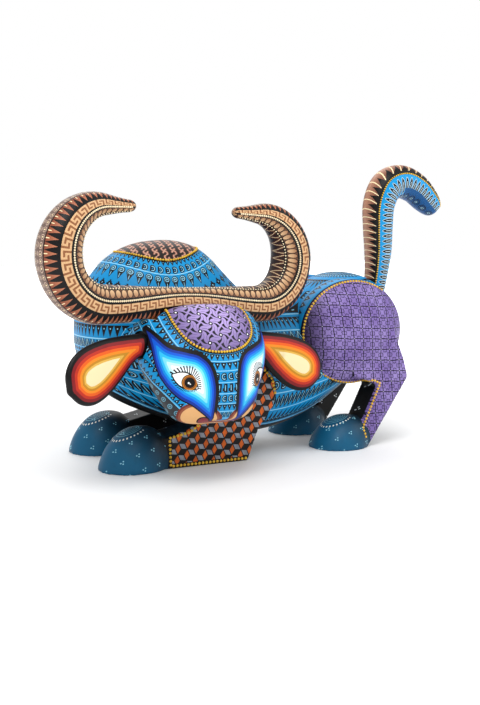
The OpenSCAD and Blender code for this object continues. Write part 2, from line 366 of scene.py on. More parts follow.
def teardrops(x, y, w, h):
    head = 0.7 * h
    bulb = x.paint.hypot(x / (0.42 * w), (y - head) / (0.27 * h)) < 1
    point = (abs(x) < y * (0.42 * w / head)) & (y < head)
    return [(bulb | point, BLACK), (spiral(x, y - head, 0.2 * w, 0.34 * w), PALE_BLUE),
            ((abs(x) < 0.03 * w) & (abs(y - 0.3 * h) < 0.14 * h), PALE_BLUE)]


def hanging_teardrops(x, y, w, h):
    return teardrops(x, h - y, w, h)


def crosses(x, y, w, h):
    tall = in_box(x, y, -0.1 * w, 0.1 * w, 0.06 * h, 0.94 * h)
    middle = in_box(x, y, -0.24 * w, 0.24 * w, 0.24 * h, 0.76 * h)
    wide = in_box(x, y, -0.4 * w, 0.4 * w, 0.4 * h, 0.6 * h)
    return [(tall | middle | wide, BLACK), (in_box(x, y, -0.05 * w, 0.05 * w, 0.42 * h, 0.58 * h), PALE_BLUE)]


def half_moons(x, y, w, h):
    far = x.paint.hypot(x, y - 0.5 * h)
    size = 0.49 * min(w, h)
    return [((far < size) & (x > -0.7 * size), BLACK),
            ((abs(far - 0.62 * size) < 0.09 * size) & (x > -0.3 * size), PALE_BLUE),
            (far < 0.2 * size, AZURE)]


def zigzag(x, y, w, h):
    line = abs(x) * (2 * h / w)
    off = abs(y - line)
    return [(off < 0.36 * h, BLACK), (off < 0.07 * h, PALE_BLUE), (off.between(0.5 * h, 0.72 * h), BLACK)]


def strokes(x, y, w, h):
    bar = in_box(x, y, -0.38 * w, 0.24 * w, 0.03 * h, 0.97 * h)
    return [(bar, BLACK), (in_box(x, y, -0.06 * w, 0.06 * w, 0.2 * h, 0.8 * h), PALE_BLUE),
            (in_box(x, y, 0.22 * w, 0.46 * w, 0.5 * h, 0.85 * h), BLACK)]


def leaves(x, y, w, h):
    half = (y * (math.pi / h)).sin() * (0.47 * w)
    return [(abs(x) < half, BLACK), ((abs(x) < 0.05 * w) & (abs(y - 0.5 * h) < 0.3 * h), PALE_BLUE)]


def lay(paint, coats, inside):
    """Lays a motif's coats on where the mask `inside` is 1."""
    for mask, colour in coats:
        paint.coat(mask & inside, colour)


def lay_row(paint, turn, count, across, low, high, motif, width):
    """One row of a motif: `turn` goes round the piece, `across` runs over the row from low to high."""
    x = ((turn * count).fract() - 0.5) * width
    y = across - low
    inside = across.between(low, high)
    lay(paint, motif(x, y, width, high - low), inside)


def lay_line(paint, across, middle, half, colour):
    paint.coat(abs(across - middle) < half, colour)


# ---------------------------------------------------------------- beads

def spaced(rows, pitch):
    """Rows at even steps of about `pitch` along a line. Its places are the first numbers of each row."""
    rows = np.array(rows, float)
    places = rows[:, :3]
    run = np.concatenate([[0], np.cumsum(np.linalg.norm(np.diff(places, axis=0), axis=1))])
    steps = np.linspace(0, run[-1], round(run[-1] / pitch) + 1)
    return np.stack([np.interp(steps, run, column) for column in rows.T], -1)


def bead_paint(name, light, dark):
    """Raised dots of thick paint, a little darker in places."""
    paint = Paint(name, light, roughness=0.35)
    paint.coat((paint.noise(5) - 0.35).clip() * 1.4, dark)
    return paint.finish()


# The rings of a bead: share of its radius, and height above the skin as a share of its radius.
BEAD_RINGS = [(1, -0.25), (0.96, 0.2), (0.72, 0.62), (0.38, 0.85)]
BEAD_TOP = 0.93
BEAD_SIDES = 10
# Radius of the beads, and distance between them, in each kind of row.
BEAD_SIZES = {
    "hump": (0.84, 1.9), "forehead": (0.88, 2.15), "horn": (0.68, 1.5), "inner_horn": (0.55, 2.1),
    "tail": (0.66, 1.8), "arm": (1.05, 2.75), "haunch": (0.95, 2.4),
}


def bead_row(name, kind, line, paint, body, closed=False):
    """A row of domes along a line of places on the skin, each with the direction out of the skin."""
    radius, pitch = BEAD_SIZES[kind]
    rows = spaced(line, pitch)
    if closed:
        rows = rows[:-1]
    turns = turns_from(0, BEAD_SIDES)
    points, faces = [], []
    for row in rows:
        middle, out = row[:3], row[3:6] / np.linalg.norm(row[3:6])
        across = np.array(Vector(out).orthogonal().normalized())
        first = len(points)
        for share, lift in BEAD_RINGS:
            half = radius * share
            lifted = middle + out * radius * lift
            points.extend(ring(lifted, across * half, np.cross(out, across) * half, turns))
        points.append(middle + out * radius * BEAD_TOP)
        for i in range(len(BEAD_RINGS) - 1):
            for j in range(BEAD_SIDES):
                low, after = first + i * BEAD_SIDES, (j + 1) % BEAD_SIDES
                faces.append((low + j, low + after, low + BEAD_SIDES + after, low + BEAD_SIDES + j))
        last = first + (len(BEAD_RINGS) - 1) * BEAD_SIDES
        faces += [(last + j, last + (j + 1) % BEAD_SIDES, last + BEAD_SIDES) for j in range(BEAD_SIDES)]
        faces.append(tuple(first + j for j in reversed(range(BEAD_SIDES))))
    made = mesh_object(name, to_metres(points), faces)
    made.data.shade_smooth()
    made.data.materials.append(paint)
    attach(made, body)


def on_skin(grid, fields, targets):
    """Bead rows where the two fields laid out on a lofted skin have the target values."""
    step_i, step_j = np.gradient(grid, axis=0), np.gradient(grid, axis=1)
    field_i, field_j = np.gradient(fields, axis=0), np.gradient(fields, axis=1)
    centre = grid.reshape(-1, 3).mean(axis=0)
    rows = []
    for target in targets:
        gap = ((fields - target) ** 2).sum(axis=-1)
        spot = np.unravel_index(np.argmin(gap), gap.shape)
        change = np.stack([field_i[spot], field_j[spot]], -1)
        share = np.linalg.solve(change, target - fields[spot])
        place = grid[spot] + share[0] * step_i[spot] + share[1] * step_j[spot]
        out = np.cross(step_i[spot], step_j[spot])
        out *= np.sign(out @ (place - centre))
        rows.append([*place, *(out / np.linalg.norm(out))])
    return np.array(rows)


# ---------------------------------------------------------------- head frame

# The head's own frame has its face towards -Y, X to the head's left, and Z up.
HEAD_ORIGIN = np.array([-47.5, -60.5, 0])
HEAD_TURN = 12
HEAD_TILT = 2.6
BAR_HEIGHT = 114
HORN_SEAT = 105
HEAD_BACK = 5
LEDGE_FRONT = 13.4
EAR_SEAT = np.array([43.5, -7, 88])
EAR_PEG_SLOPE = 8
EAR_PEG_LENGTH = 22
SEAT_GAP = 0.3
PEG_RADIUS = 3.55


def head_to_bull(points):
    pivot = np.array([0, 0, BAR_HEIGHT])
    spin = turned("Z", HEAD_TURN) @ turned("Y", HEAD_TILT)
    return (np.asarray(points) - pivot) @ spin.T + pivot + HEAD_ORIGIN


def rows_to_bull(rows):
    """Bead rows from the head's own frame to the bull's."""
    places = head_to_bull(rows[:, :3])
    return np.hstack([places, head_to_bull(rows[:, :3] + rows[:, 3:]) - places])


def ear_to_head(points, left):
    """The ear's own frame has +X along the ear peg, away from the head."""
    placed = np.asarray(points) @ turned("Y", -EAR_PEG_SLOPE).T + EAR_SEAT
    return placed if left else placed * [-1, 1, 1]


def depth_inside(points, outline):
    """How far points in a plane are inside a closed outline. It is negative outside."""
    points = np.asarray(points, float)
    nearest = np.full(len(points), np.inf)
    inside = np.zeros(len(points), bool)
    for start, end in zip(outline, np.roll(outline, -1, axis=0)):
        edge = end - start
        share = np.clip((points - start) @ edge / (edge @ edge), 0, 1)
        nearest = np.minimum(nearest, np.linalg.norm(points - start - share[:, None] * edge, axis=1))
        if start[1] != end[1]:
            crossing = start[0] + (points[:, 1] - start[1]) / (end[1] - start[1]) * edge[0]
            spans = (start[1] > points[:, 1]) != (end[1] > points[:, 1])
            inside ^= spans & (points[:, 0] < crossing)
    return np.where(inside, nearest, -nearest)


# ---------------------------------------------------------------- torso

TORSO_HALF_LENGTH = 127
TORSO_HALF_WIDTH = 44
# Top, bottom, and half width as a share, at equal steps of a half turn from chest to rump.
TORSO_STATIONS = [
    (93, 89, 0.02), (121, 63, 0.56), (144, 45, 0.86), (154.5, 31, 0.98), (150, 19, 1), (117, 12, 0.96),
    (118, 19, 0.91), (129, 39, 0.88), (126, 62, 0.75), (114, 84, 0.43), (101, 97, 0.02),
]
PATCH_MIDDLE = np.array([-48.0, 0])
PATCH_HALF = np.array([29.0, 27])
TAIL_ROOT = np.array([136.5, 0, 110])
TAIL_SPOT_RADIUS = 10
TAIL_PEG_LENGTH = 28


def torso_grid(steps=14, sides=176):
    stations = smooth(TORSO_STATIONS, steps)
    x = TORSO_MIDDLE - TORSO_HALF_LENGTH * np.cos(np.linspace(0, math.pi, len(stations)))
    turns = turns_from(-math.pi / 2, sides)
    return np.array([
        ring((x[i], 0, (top + bottom) / 2), (0, -share * TORSO_HALF_WIDTH, 0), (0, 0, (top - bottom) / 2),
             turns, 2.1, 0.06)
        for i, (top, bottom, share) in enumerate(stations)
    ])


def ellipse_turn(points, middle_x, half_x, half_y):
    """How far round an ellipse points are, in turns, by length along its edge."""
    angle = np.arctan2(points[..., 1] / half_y, (points[..., 0] - middle_x) / half_x)
    lean = (half_x - half_y) / (half_x + half_y) / 2
    return (angle - lean * np.sin(2 * angle)) / (2 * math.pi)


def torso_top(x, y):
    """The height of the torso's upper skin at places in plan."""
    stations = smooth(TORSO_STATIONS, 14)
    stations_x = TORSO_MIDDLE - TORSO_HALF_LENGTH * np.cos(np.linspace(0, math.pi, len(stations)))
    top, bottom, share = (np.interp(x, stations_x, stations[:, i]) for i in range(3))
    across = np.clip(np.abs(y) / (share * TORSO_HALF_WIDTH), 0, 1)
    return (top + bottom) / 2 + (top - bottom) / 2 * (1 - across ** 2.1) ** (1 / 2.1)


def past_patch(grid):
    """How far along the skin each point is outside the patch on the hump. It is negative on the patch."""
    away = grid[..., :2] - PATCH_MIDDLE
    size = np.maximum(np.linalg.norm(away / PATCH_HALF, axis=-1), 1e-6)[..., None]
    rim = PATCH_MIDDLE + away / size
    drop = torso_top(rim[..., 0], rim[..., 1]) - grid[..., 2]
    gap = np.hypot(np.linalg.norm(grid[..., :2] - rim, axis=-1), drop)
    return np.where(size[..., 0] < 1, -gap, gap)


# The turn round the hump is taken this far outside its patch, and behind RUMP_START round the rump.
HUMP_RING = 14
RUMP_START = 45
RUMP_MIDDLE = 95
RUMP_HALF = (35, 30)
# The belly's lowest height, how fast it rises with distance squared, and where the rows are level.
BELLY_FOOT = 12
BELLY_RISE_FRONT = 0.0031
BELLY_RISE_REAR = 0.0048
LEVEL_HEIGHT = 85


def torso_facts(grid):
    """The turn and level that the rows of the torso's pattern follow, and the distance from the patch."""
    x, z = grid[..., 0], grid[..., 2]
    upper = np.where(x < RUMP_START, ellipse_turn(grid, *PATCH_MIDDLE[:1], *(PATCH_HALF + HUMP_RING)),
                     ellipse_turn(grid, RUMP_MIDDLE, *RUMP_HALF))
    whole = ellipse_turn(grid, TORSO_MIDDLE, TORSO_HALF_LENGTH, TORSO_HALF_WIDTH)
    away = x - TORSO_MIDDLE
    belly = BELLY_FOOT + away ** 2 * np.where(away < 0, BELLY_RISE_FRONT, BELLY_RISE_REAR)
    share = np.clip((LEVEL_HEIGHT - z) / (LEVEL_HEIGHT - belly), 0, 1)
    level = z - (belly - BELLY_FOOT) * share
    return {
        "around": np.stack([upper, whole, whole * 0], -1),
        "level": np.stack([level, past_patch(grid), z], -1),
    }


def s_scrolls(x, y, w, h):
    """An S made of two half rings, one for each half of the cell."""
    middle = y - 0.5 * h
    side = middle.sign()
    x, y = x * side, abs(middle)
    loop = 0.22 * h
    far = x.paint.hypot(x, y - loop)
    arc = (abs(far - loop) < 0.12 * h) & ((x > 0) | (y > loop))
    return [(arc, RUST), ((abs(far - loop) < 0.035 * h) & ((x > 0) | (y > loop)), TAN)]


# Lengths once round the hump, the body and the rump, for the number of cells in a row.
HUMP_LENGTH = 251
BODY_LENGTH = 597
RUMP_LENGTH = 205
# Rows of the torso's pattern: foot and top of the row in millimetres, motif, and width of a cell.
# The hump's rows are measured outwards from its patch, and the others upwards from the floor.
HUMP_ROWS = [
    (1.4, 5.4, triangles, 4.6), (6, 11.8, half_moons, 6.4), (13, 23.5, hanging_teardrops, 6.6),
    (24.6, 31.4, crosses, 5.4), (32.4, 39.2, crosses, 5.4), (40.4, 48, triangles, 5.6),
    (49.2, 56.2, half_moons, 5.6), (57.4, 64.4, crosses, 5.6), (65.6, 73, triangles, 5.6),
]
RUMP_ROWS = [
    (125.5, 131, half_moons, 5), (118.5, 124.5, hanging_triangles, 4.4), (110, 117.5, half_moons, 5.4),
    (101.5, 109, triangles, 4.6),
]
BODY_ROWS = [
    (91, 99.5, hanging_triangles, 5.2), (80, 89.2, zigzag, 7), (69.5, 78.5, crosses, 6),
    (58, 67.8, strokes, 5), (46, 56, half_moons, 7.2), (33, 44, leaves, 4.6), (21.5, 31.4, triangles, 5.6),
]
HUMP_FOOT = 101
HUMP_END = 42
# Added to the distance from the patch below the hump, so that its rows stay on the upper side.
BELOW_HUMP = 200
BELLY_LEVEL = 19.5
# A pale line runs this far outside the patch.
HUMP_LINE = 12.3
SCROLL_WIDTH = 6.6
SCROLL_HEIGHT = 6.6


def torso_paint():
    paint = Paint("torso_paint", AZURE)
    upper, whole, _ = paint.fact("around")
    level, past, z = paint.fact("level")
    past = past + (z < HUMP_FOOT) * BELOW_HUMP
    x, y, _ = paint.place()
    paint.coat((paint.noise(30) - 0.45).clip() * 0.5, DEEP_AZURE)
    for low, high, motif, width in BODY_ROWS:
        lay_row(paint, whole, round(BODY_LENGTH / width), level, low, high, motif, width)
        lay_line(paint, level, low - 1, 0.35, PALE_BLUE)
    paint.coat(level < BELLY_LEVEL, BLACK)
    paint.coat(z > HUMP_FOOT, AZURE)
    for low, high, motif, width in RUMP_ROWS:
        lay_row(paint, upper, round(RUMP_LENGTH / width), level, low, high, motif, width)
    lay_line(paint, z, HUMP_FOOT, 0.35, PALE_BLUE)
    paint.coat((z > HUMP_FOOT) & (x < HUMP_END), AZURE)
    for low, high, motif, width in HUMP_ROWS:
        lay_row(paint, upper, round(HUMP_LENGTH / width), past, low, high, motif, width)
    lay_line(paint, past, HUMP_LINE, 0.3, PALE_BLUE)
    lay_line(paint, past, 0.6, 1.1, BLACK)
    patch = past < 0.4
    paint.coat(patch, rgb("1d1412"))
    scroll_x = x.cell(SCROLL_WIDTH)
    scroll_y = (y / SCROLL_HEIGHT).fract() * SCROLL_HEIGHT
    lay(paint, s_scrolls(scroll_x, scroll_y, SCROLL_WIDTH, SCROLL_HEIGHT), patch)
    return paint.finish()


def patch_line():
    """The line of beads round the patch on the hump."""
    turn = np.linspace(0, 2 * math.pi, 200)
    flat = PATCH_MIDDLE + (PATCH_HALF + 0.6) * np.stack([np.cos(turn), np.sin(turn)], -1)
    x, y = flat[:, 0], flat[:, 1]
    step = 0.5
    slope_x = (torso_top(x + step, y) - torso_top(x - step, y)) / (2 * step)
    slope_y = (torso_top(x, y + step) - torso_top(x, y - step)) / (2 * step)
    return np.stack([x, y, torso_top(x, y), -slope_x, -slope_y, x * 0 + 1], -1)


# Neck rings in the head's turn: distance back, and share of the full size.
NECK_RINGS = [(35, 1), (20, 1), (HEAD_BACK, 0.84)]
NECK_HALF_WIDTH = 36
NECK_HALF_HEIGHT = 18
NECK_HEIGHT = 88
NECK_LENGTH = 180
# Rows round the neck: distance back of the foot and top, motif, and width of a cell.
NECK_ROWS = [(7, 13, triangles, 6), (15, 22, half_moons, 7), (24, 30, triangles, 6)]


def neck_paint():
    """Azure with rows of motifs round the neck."""
    paint = Paint("neck_paint", AZURE)
    turn, back, _ = paint.fact("neck")
    for low, high, motif, width in NECK_ROWS:
        lay_row(paint, turn, round(NECK_LENGTH / width), back, low, high, motif, width)
        lay_line(paint, back, high + 1, 0.35, PALE_BLUE)
    return paint.finish()


def make_neck():
    """The neck between the torso and the flat back of the head."""
    turns = turns_from(0, 96)
    rings = smooth(NECK_RINGS, 8)
    grid = np.array([
        ring((0, back, NECK_HEIGHT), (NECK_HALF_WIDTH * size, 0, 0), (0, 0, NECK_HALF_HEIGHT * size), turns)
        for back, size in rings
    ])
    backs = np.repeat(rings[:, :1], len(turns), axis=1)
    around = np.repeat(turns[None, :] / (2 * math.pi), len(rings), axis=0)
    placed = grid @ turned("Z", HEAD_TURN).T + HEAD_ORIGIN
    made = loft("carved_neck", placed, {"neck": np.stack([around, backs, backs * 0], -1)})
    made.data.materials.append(neck_paint())
    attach(made, "root")
    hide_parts("torso")


def make_torso(wood, gold):
    grid = torso_grid()
    made = loft("carved_torso", grid, torso_facts(grid), cyclic=("around",))
    made.data.materials.append(torso_paint())
    seat = rod_points(TAIL_ROOT + [0, 0, 50], (0, 0, 1), TAIL_SPOT_RADIUS, 100)
    bore = rod_points(TAIL_ROOT, (0, 0, 1), PEG_RADIUS, TAIL_PEG_LENGTH)
    cut(made, [loft("seat", seat), loft("bore", bore)], wood)
    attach(made, "root")
    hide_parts("torso")
    bead_row("hump_beads", "hump", patch_line(), gold, "root", closed=True)


def bare_wood():
    """Pale turned wood with fine grain along Z, for pegs, dowels and seats."""
    paint = Paint("bare_wood", rgb("c9a06c"), roughness=0.55, grain=0.3)
    rings = paint.noise(1.4, 4, stretch=(1, 1, 0.12))
    paint.coat((rings - 0.42).clip() * 2.2, rgb("8f6136"))
    return paint.finish()


# ---------------------------------------------------------------- head

# Crown to muzzle: face forward and up, jaw forward and up, half width, drift of the middle to the left.
HEAD_STATIONS = [
    (-7, 109, -9, 108, 1, 2), (16, 115, -22, 92, 41, 3), (29, 108, -14, 78, 47, 2.5),
    (39, 97, -4, 66, 46.5, 1), (46, 84, 7, 55, 42, -1.5), (50, 70, 18, 46.5, 36, -5),
    (51, 58, 31, 41, 31, -8), (48, 47, 40, 40.5, 20, -9), (46, 43.5, 44, 43, 1, -9),
]
# The face is laid out on the head's skin: `side` is the distance along the skin from the line down
# the middle of the face, and `down` the distance down that line from the front of the crown.
MIDDLE_TOP, MIDDLE_LEAN, MIDDLE_START, MIDDLE_RUN = 4, 8.7, 45, 41
# The mask round an eye, from the temple to the muzzle, by its inner and outer edges.
MASK_INNER = [
    (48, 12), (42.5, 24.5), (36.8, 32.6), (26, 39), (18, 43.4), (12.3, 51), (9.8, 63), (9.8, 75), (10.6, 88),
]
MASK_OUTER = [
    (48, 11), (48.5, 24.5), (48.4, 38), (42.8, 53), (34, 65.5), (25.6, 73.2), (17.9, 81), (10.6, 88),
]
EYE_MIDDLE = np.array([27.2, -44.5, 68.6])
EYE_FACING = np.array([0.505, -0.828, 0.244])
EYE_SHIFT = -4.2


def head_grid(steps=18, sides=220):
    turns = turns_from(-math.pi / 2, sides)
    return np.array([
        ring((drift, -(face + jaw) / 2, (face_z + jaw_z) / 2), (half, 0, 0),
             (0, -(face - jaw) / 2, (face_z - jaw_z) / 2), turns, 2.3, 0.1)
        for face, face_z, jaw, jaw_z, half, drift in smooth(HEAD_STATIONS, steps)
    ])


def head_layout(grid, steps):
    """Side and down for each point of the head."""
    middle = grid.shape[1] // 2
    gaps = np.linalg.norm(np.diff(grid, axis=1), axis=2)
    along = np.concatenate([np.zeros((len(grid), 1)), np.cumsum(gaps, axis=1)], axis=1)
    ridge = np.linalg.norm(np.diff(grid[:, middle], axis=0), axis=1)
    down = np.concatenate([[0], np.cumsum(ridge)])
    down = np.repeat((down - down[steps])[:, None], grid.shape[1], axis=1)
    lean = MIDDLE_TOP - MIDDLE_LEAN * np.clip((down - MIDDLE_START) / MIDDLE_RUN, 0, 1)
    return along - along[:, middle:middle + 1] - lean, down


def head_facts(grid, steps):
    side, down = head_layout(grid, steps)
    outline = np.vstack([smooth(MASK_INNER, 6), smooth(MASK_OUTER, 6)[-2:0:-1]])
    depth = depth_inside(np.stack([np.abs(side), down], -1).reshape(-1, 2), outline).reshape(side.shape)
    mirrored = grid - [EYE_SHIFT, 0, 0]
    mirrored[..., 0] = np.abs(mirrored[..., 0])
    up = np.array([0, 0, 1]) - EYE_FACING * EYE_FACING[2]
    up /= np.linalg.norm(up)
    outward = np.cross(EYE_FACING, up) * -1
    offset = mirrored - EYE_MIDDLE
    return {
        "face": np.stack([side, down, depth], -1),
        "eye": np.stack([offset @ outward, offset @ up, offset @ EYE_FACING], -1),
    }


OVAL_MIDDLE_DOWN = 12
OVAL_HALF = 29
OVAL_SQUARENESS = 2.2
OVAL_TOP = 2
# Rows round the forehead oval: distance of the foot and top from it, motif, and width of a cell.
OVAL_ROWS = [
    (2.8, 7, triangles, 4), (8.2, 13.2, triangles, 4.8), (14.4, 20.8, half_moons, 5.4),
    (22, 28, strokes, 4.6), (29.2, 34.6, half_moons, 5), (35.8, 40, triangles, 4), (41.2, 45, zigzag, 3.4),
]
MASK_BANDS = [
    (0, "0a2f8f"), (1.5, "0b55cc"), (3.0, "0a86d6"), (4.4, "2cb6ea"), (5.8, "74d3f3"),
    (7.2, "b9e8f7"), (8.6, "eef7fa"),
]
# The cheek and jaw are laid out by the slant, which is the side plus this share of the distance down.
CHEEK_LEAN = 0.76
CHEEK_ROWS = [(79, 83, triangles, 4.2), (84.3, 88.2, hanging_triangles, 3.6)]
JAW_START = 89.4
JAW_CELL = (7, 6)
PINWHEEL_PITCH = 10.4
PINWHEEL_LEAN = 0.5
# The eye's white is an almond with this middle, half length, bows above and below, and lean.
ALMOND_MIDDLE = (2.9, 0.4)
ALMOND_HALF = 8.9
ALMOND_ABOVE = 5.0
ALMOND_BELOW = 3.7
ALMOND_LEAN = 0.49
EYE_REACH = 9
# Lashes in a full turn round the eye.
LASHES = 36
IRIS_RINGS = [(5.2, "141214"), (4.7, "b87424"), (4.0, "5e2c10"), (3.7, "96571f"), (3.3, "0d0b0c")]
GLINTS = [(0.7, -0.6, 0.6), (-0.3, -1.3, 0.4)]
# The nostril pads and nostrils: middles, half sizes and lean.
PAD_MIDDLE = (20.5, 83)
PAD_HALF = (19.5, 9.2)
PAD_LEAN = 0.41
PAD_BANDS = [(1.0, "6d2c24"), (0.88, "8a4a36"), (0.76, "d9a770")]
NOSTRIL_MIDDLE = (-5.5, 2.6)
NOSTRIL_HALF = (6, 3.4)


def lean_over(x, y, angle):
    """A place in axes that are turned by an angle in radians."""
    return x * math.cos(angle) + y * math.sin(angle), y * math.cos(angle) - x * math.sin(angle)


def pinwheels(paint, x, y, pitch):
    """Swirling lilac blades with dark gaps and a dot at the middle of each cell."""
    cell_x = x.cell(pitch)
    cell_y = y.cell(pitch)
    far = paint.hypot(cell_x, cell_y)
    turn = paint.angle(cell_y, cell_x) * (4 / (2 * math.pi)) + far * (0.9 / pitch)
    gap = (turn.fract() > 0.97 - far * (0.6 / pitch)) & (far > 0.12 * pitch)
    vein = (abs(turn.fract() - 0.3) < 0.03) & (far > 0.2 * pitch)
    return gap, vein, far


def forehead(paint, side, down, inside):
    x, y = lean_over(side, down, PINWHEEL_LEAN)
    edge_dark = ((paint.hypot(side, down - OVAL_MIDDLE_DOWN) / OVAL_HALF - 0.35) * 1.2).clip()
    paint.coat(inside, paint.blend(edge_dark, rgb("ae9ad0"), rgb("57457c")))
    gap, vein, far = pinwheels(paint, x, y, PINWHEEL_PITCH)
    paint.coat(vein & inside, rgb("5d4a80"))
    paint.coat(gap & inside, rgb("17121f"))
    paint.coat((abs(far - 1.1) < 0.45) & inside, rgb("1c1626"))
    paint.coat((far < 0.6) & inside, WHITE)


def eye(paint):
    """An amber iris in a white almond with a black rim, with lashes above and below it."""
    out, up, near = paint.fact("eye")
    close = abs(near) < EYE_REACH
    u, v = lean_over(out - ALMOND_MIDDLE[0], up - ALMOND_MIDDLE[1], ALMOND_LEAN)
    bow = 1 - (u / ALMOND_HALF) ** 2
    above = v - bow * ALMOND_ABOVE
    below = -v - bow * ALMOND_BELOW
    almond = above | below
    spread = paint.angle(up + 1.0, out - 0.5)
    comb = (spread * LASHES).sin() > 0.1
    lashes = (above > 0.9) & (above < 5.6 - abs(u) * 0.14) & comb & (abs(u) < 11) & (v > 0)
    fringe = below.between(0.9, 2.3) & comb & (abs(u) < 9) & (v < 0)
    paint.coat((lashes | fringe) & close, BLACK)
    paint.coat((almond < 0.95) & close, BLACK)
    paint.coat((almond < 0) & close, WHITE)
    ball = paint.hypot(out, up + 0.4)
    for radius, code in IRIS_RINGS:
        paint.coat((ball < radius) & (almond < 0.9) & close, rgb(code))
    for dot_x, dot_y, radius in GLINTS:
        paint.coat((paint.hypot(out - dot_x, up - dot_y) < radius) & close, WHITE)


def muzzle(paint, side, down):
    """Cream nostril pads with red-brown rims, and a maroon nostril on each."""
    x, y = lean_over(side - PAD_MIDDLE[0], down - PAD_MIDDLE[1], -PAD_LEAN)
    pad = paint.hypot(x / PAD_HALF[0], y / PAD_HALF[1])
    for size, code in PAD_BANDS:
        paint.coat(pad < size, rgb(code))
    across = (x - NOSTRIL_MIDDLE[0]) / NOSTRIL_HALF[0]
    nostril = paint.hypot(across, (y - NOSTRIL_MIDDLE[1]) / NOSTRIL_HALF[1])
    paint.coat(nostril < 1, BLACK)
    paint.coat(nostril < 0.8, rgb("7e2a33"))


def head_paint():
    paint = Paint("head_paint", AZURE)
    side, down, depth = paint.fact("face")
    mirrored = abs(side)
    paint.coat((paint.noise(26) - 0.45).clip() * 0.5, DEEP_AZURE)
    size = ((mirrored / OVAL_HALF) ** OVAL_SQUARENESS
            + (abs(down - OVAL_MIDDLE_DOWN) / OVAL_HALF) ** OVAL_SQUARENESS) ** (1 / OVAL_SQUARENESS)
    away = (size - 1) * OVAL_HALF
    turn = paint.angle(side, down - OVAL_MIDDLE_DOWN) / (2 * math.pi)
    for low, high, motif, width in OVAL_ROWS:
        count = round(2 * math.pi * (OVAL_HALF + (low + high) / 2) / width)
        lay_row(paint, turn, count, away, low, high, motif, width)
        lay_line(paint, away, high + 0.7, 0.22, PALE_BLUE)
    slant = mirrored + down * CHEEK_LEAN
    cheek = (away > 26) & (down > 12) & (mirrored > 30)
    paint.coat(cheek, AZURE)
    for low, high, motif, width in CHEEK_ROWS:
        coats = motif(down.cell(width), slant - low, width, high - low)
        lay(paint, coats, cheek & slant.between(low, high))
    paint.coat((slant > 88.6) & cheek, rgb("5fb2dc"))
    jaw = (slant > JAW_START) & (away > 20)
    paint.coat(jaw, rgb("2b2e33"))
    spot = paint.hypot(down.cell(JAW_CELL[0]), slant.cell(JAW_CELL[1]))
    paint.coat(jaw & ((spot < 0.7) | (abs(spot - 1.6) < 0.3)), rgb("5f97ad"))
    lay_line(paint, away, 1.2, 1.5, BLACK)
    forehead(paint, side, down, away < 0.4)
    muzzle(paint, mirrored, down)
    upper_side = (slant < 71).clip()
    paint.coat(depth > -0.8 - upper_side * 1.8, BLACK)
    for inset, code in MASK_BANDS:
        paint.coat(depth > inset, rgb(code))
    eye(paint)
    return paint.finish()


def oval_line(grid, steps):
    """The line of beads round the forehead's oval, except behind the ledge under the horns."""
    turn = np.linspace(0, 2 * math.pi, 240)
    half = OVAL_HALF + 1.1
    side = half * power(np.cos(turn), 2 / OVAL_SQUARENESS)
    down = OVAL_MIDDLE_DOWN + half * power(np.sin(turn), 2 / OVAL_SQUARENESS)
    order = np.argsort((turn + math.pi / 2) % (2 * math.pi))
    line = np.stack([side, down], -1)[order]
    line = line[line[:, 1] > OVAL_TOP]
    fields = np.stack(head_layout(grid, steps), -1)
    return rows_to_bull(on_skin(grid[steps:], fields[steps:], line))


def make_head(wood, gold):
    steps = 18
    grid = head_grid(steps)
    facts = head_facts(grid, steps)
    made = loft("carved_head", head_to_bull(grid), facts)
    made.data.materials.append(head_paint())
    dark = Paint("ear_seat_paint", BLACK).finish()
    reach = 200
    back = block_points((-reach, HEAD_BACK, -reach), (reach, reach, reach))
    ledge = block_points((-reach, -LEDGE_FRONT, HORN_SEAT), (reach, reach, reach))
    cutters = [loft("back", head_to_bull(back)), loft("ledge", head_to_bull(ledge))]
    for left in (True, False):
        spot = rod_points((10, 0, 0), (1, 0, 0), 9.5, 20)
        bore = rod_points((0, 0, 0), (1, 0, 0), PEG_RADIUS, EAR_PEG_LENGTH)
        for points, finish in ((spot, dark), (bore, wood)):
            placed = ear_to_head(points.reshape(-1, 3), left).reshape(points.shape)
            cutter = loft("ear_cut", head_to_bull(placed))
            cutter.data.materials.append(finish)
            cutters.append(cutter)
    cut(made, cutters, wood)
    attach(made, "root")
    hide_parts("head")
    bead_row("forehead_beads", "forehead", oval_line(grid, steps), gold, "root")


# ---------------------------------------------------------------- horns

BAR_HALF = 62
CURL_RADIUS = 31
HORN_RADIUS = 14.2
TIP_LENGTH = 23
HORN_SHIFT = -6.8
HORN_HALF = BAR_HALF + math.pi * CURL_RADIUS + TIP_LENGTH
HORN_TWIST = 25
# Radius from the middle of the horns to a tip: share of the way, share of the thickest radius.
HORN_STATIONS = [
    (0, 0.77), (0.27, 0.85), (0.46, 0.97), (0.62, 1), (0.75, 0.81), (0.87, 0.5), (0.94, 0.33), (1, 0.25),
]
HORN_TABLE = smooth(HORN_STATIONS, 6)
HORN_TIP_ROUND = 5
HORN_PEG_SPACING = 36
HORN_PEG_BOTTOM = 92


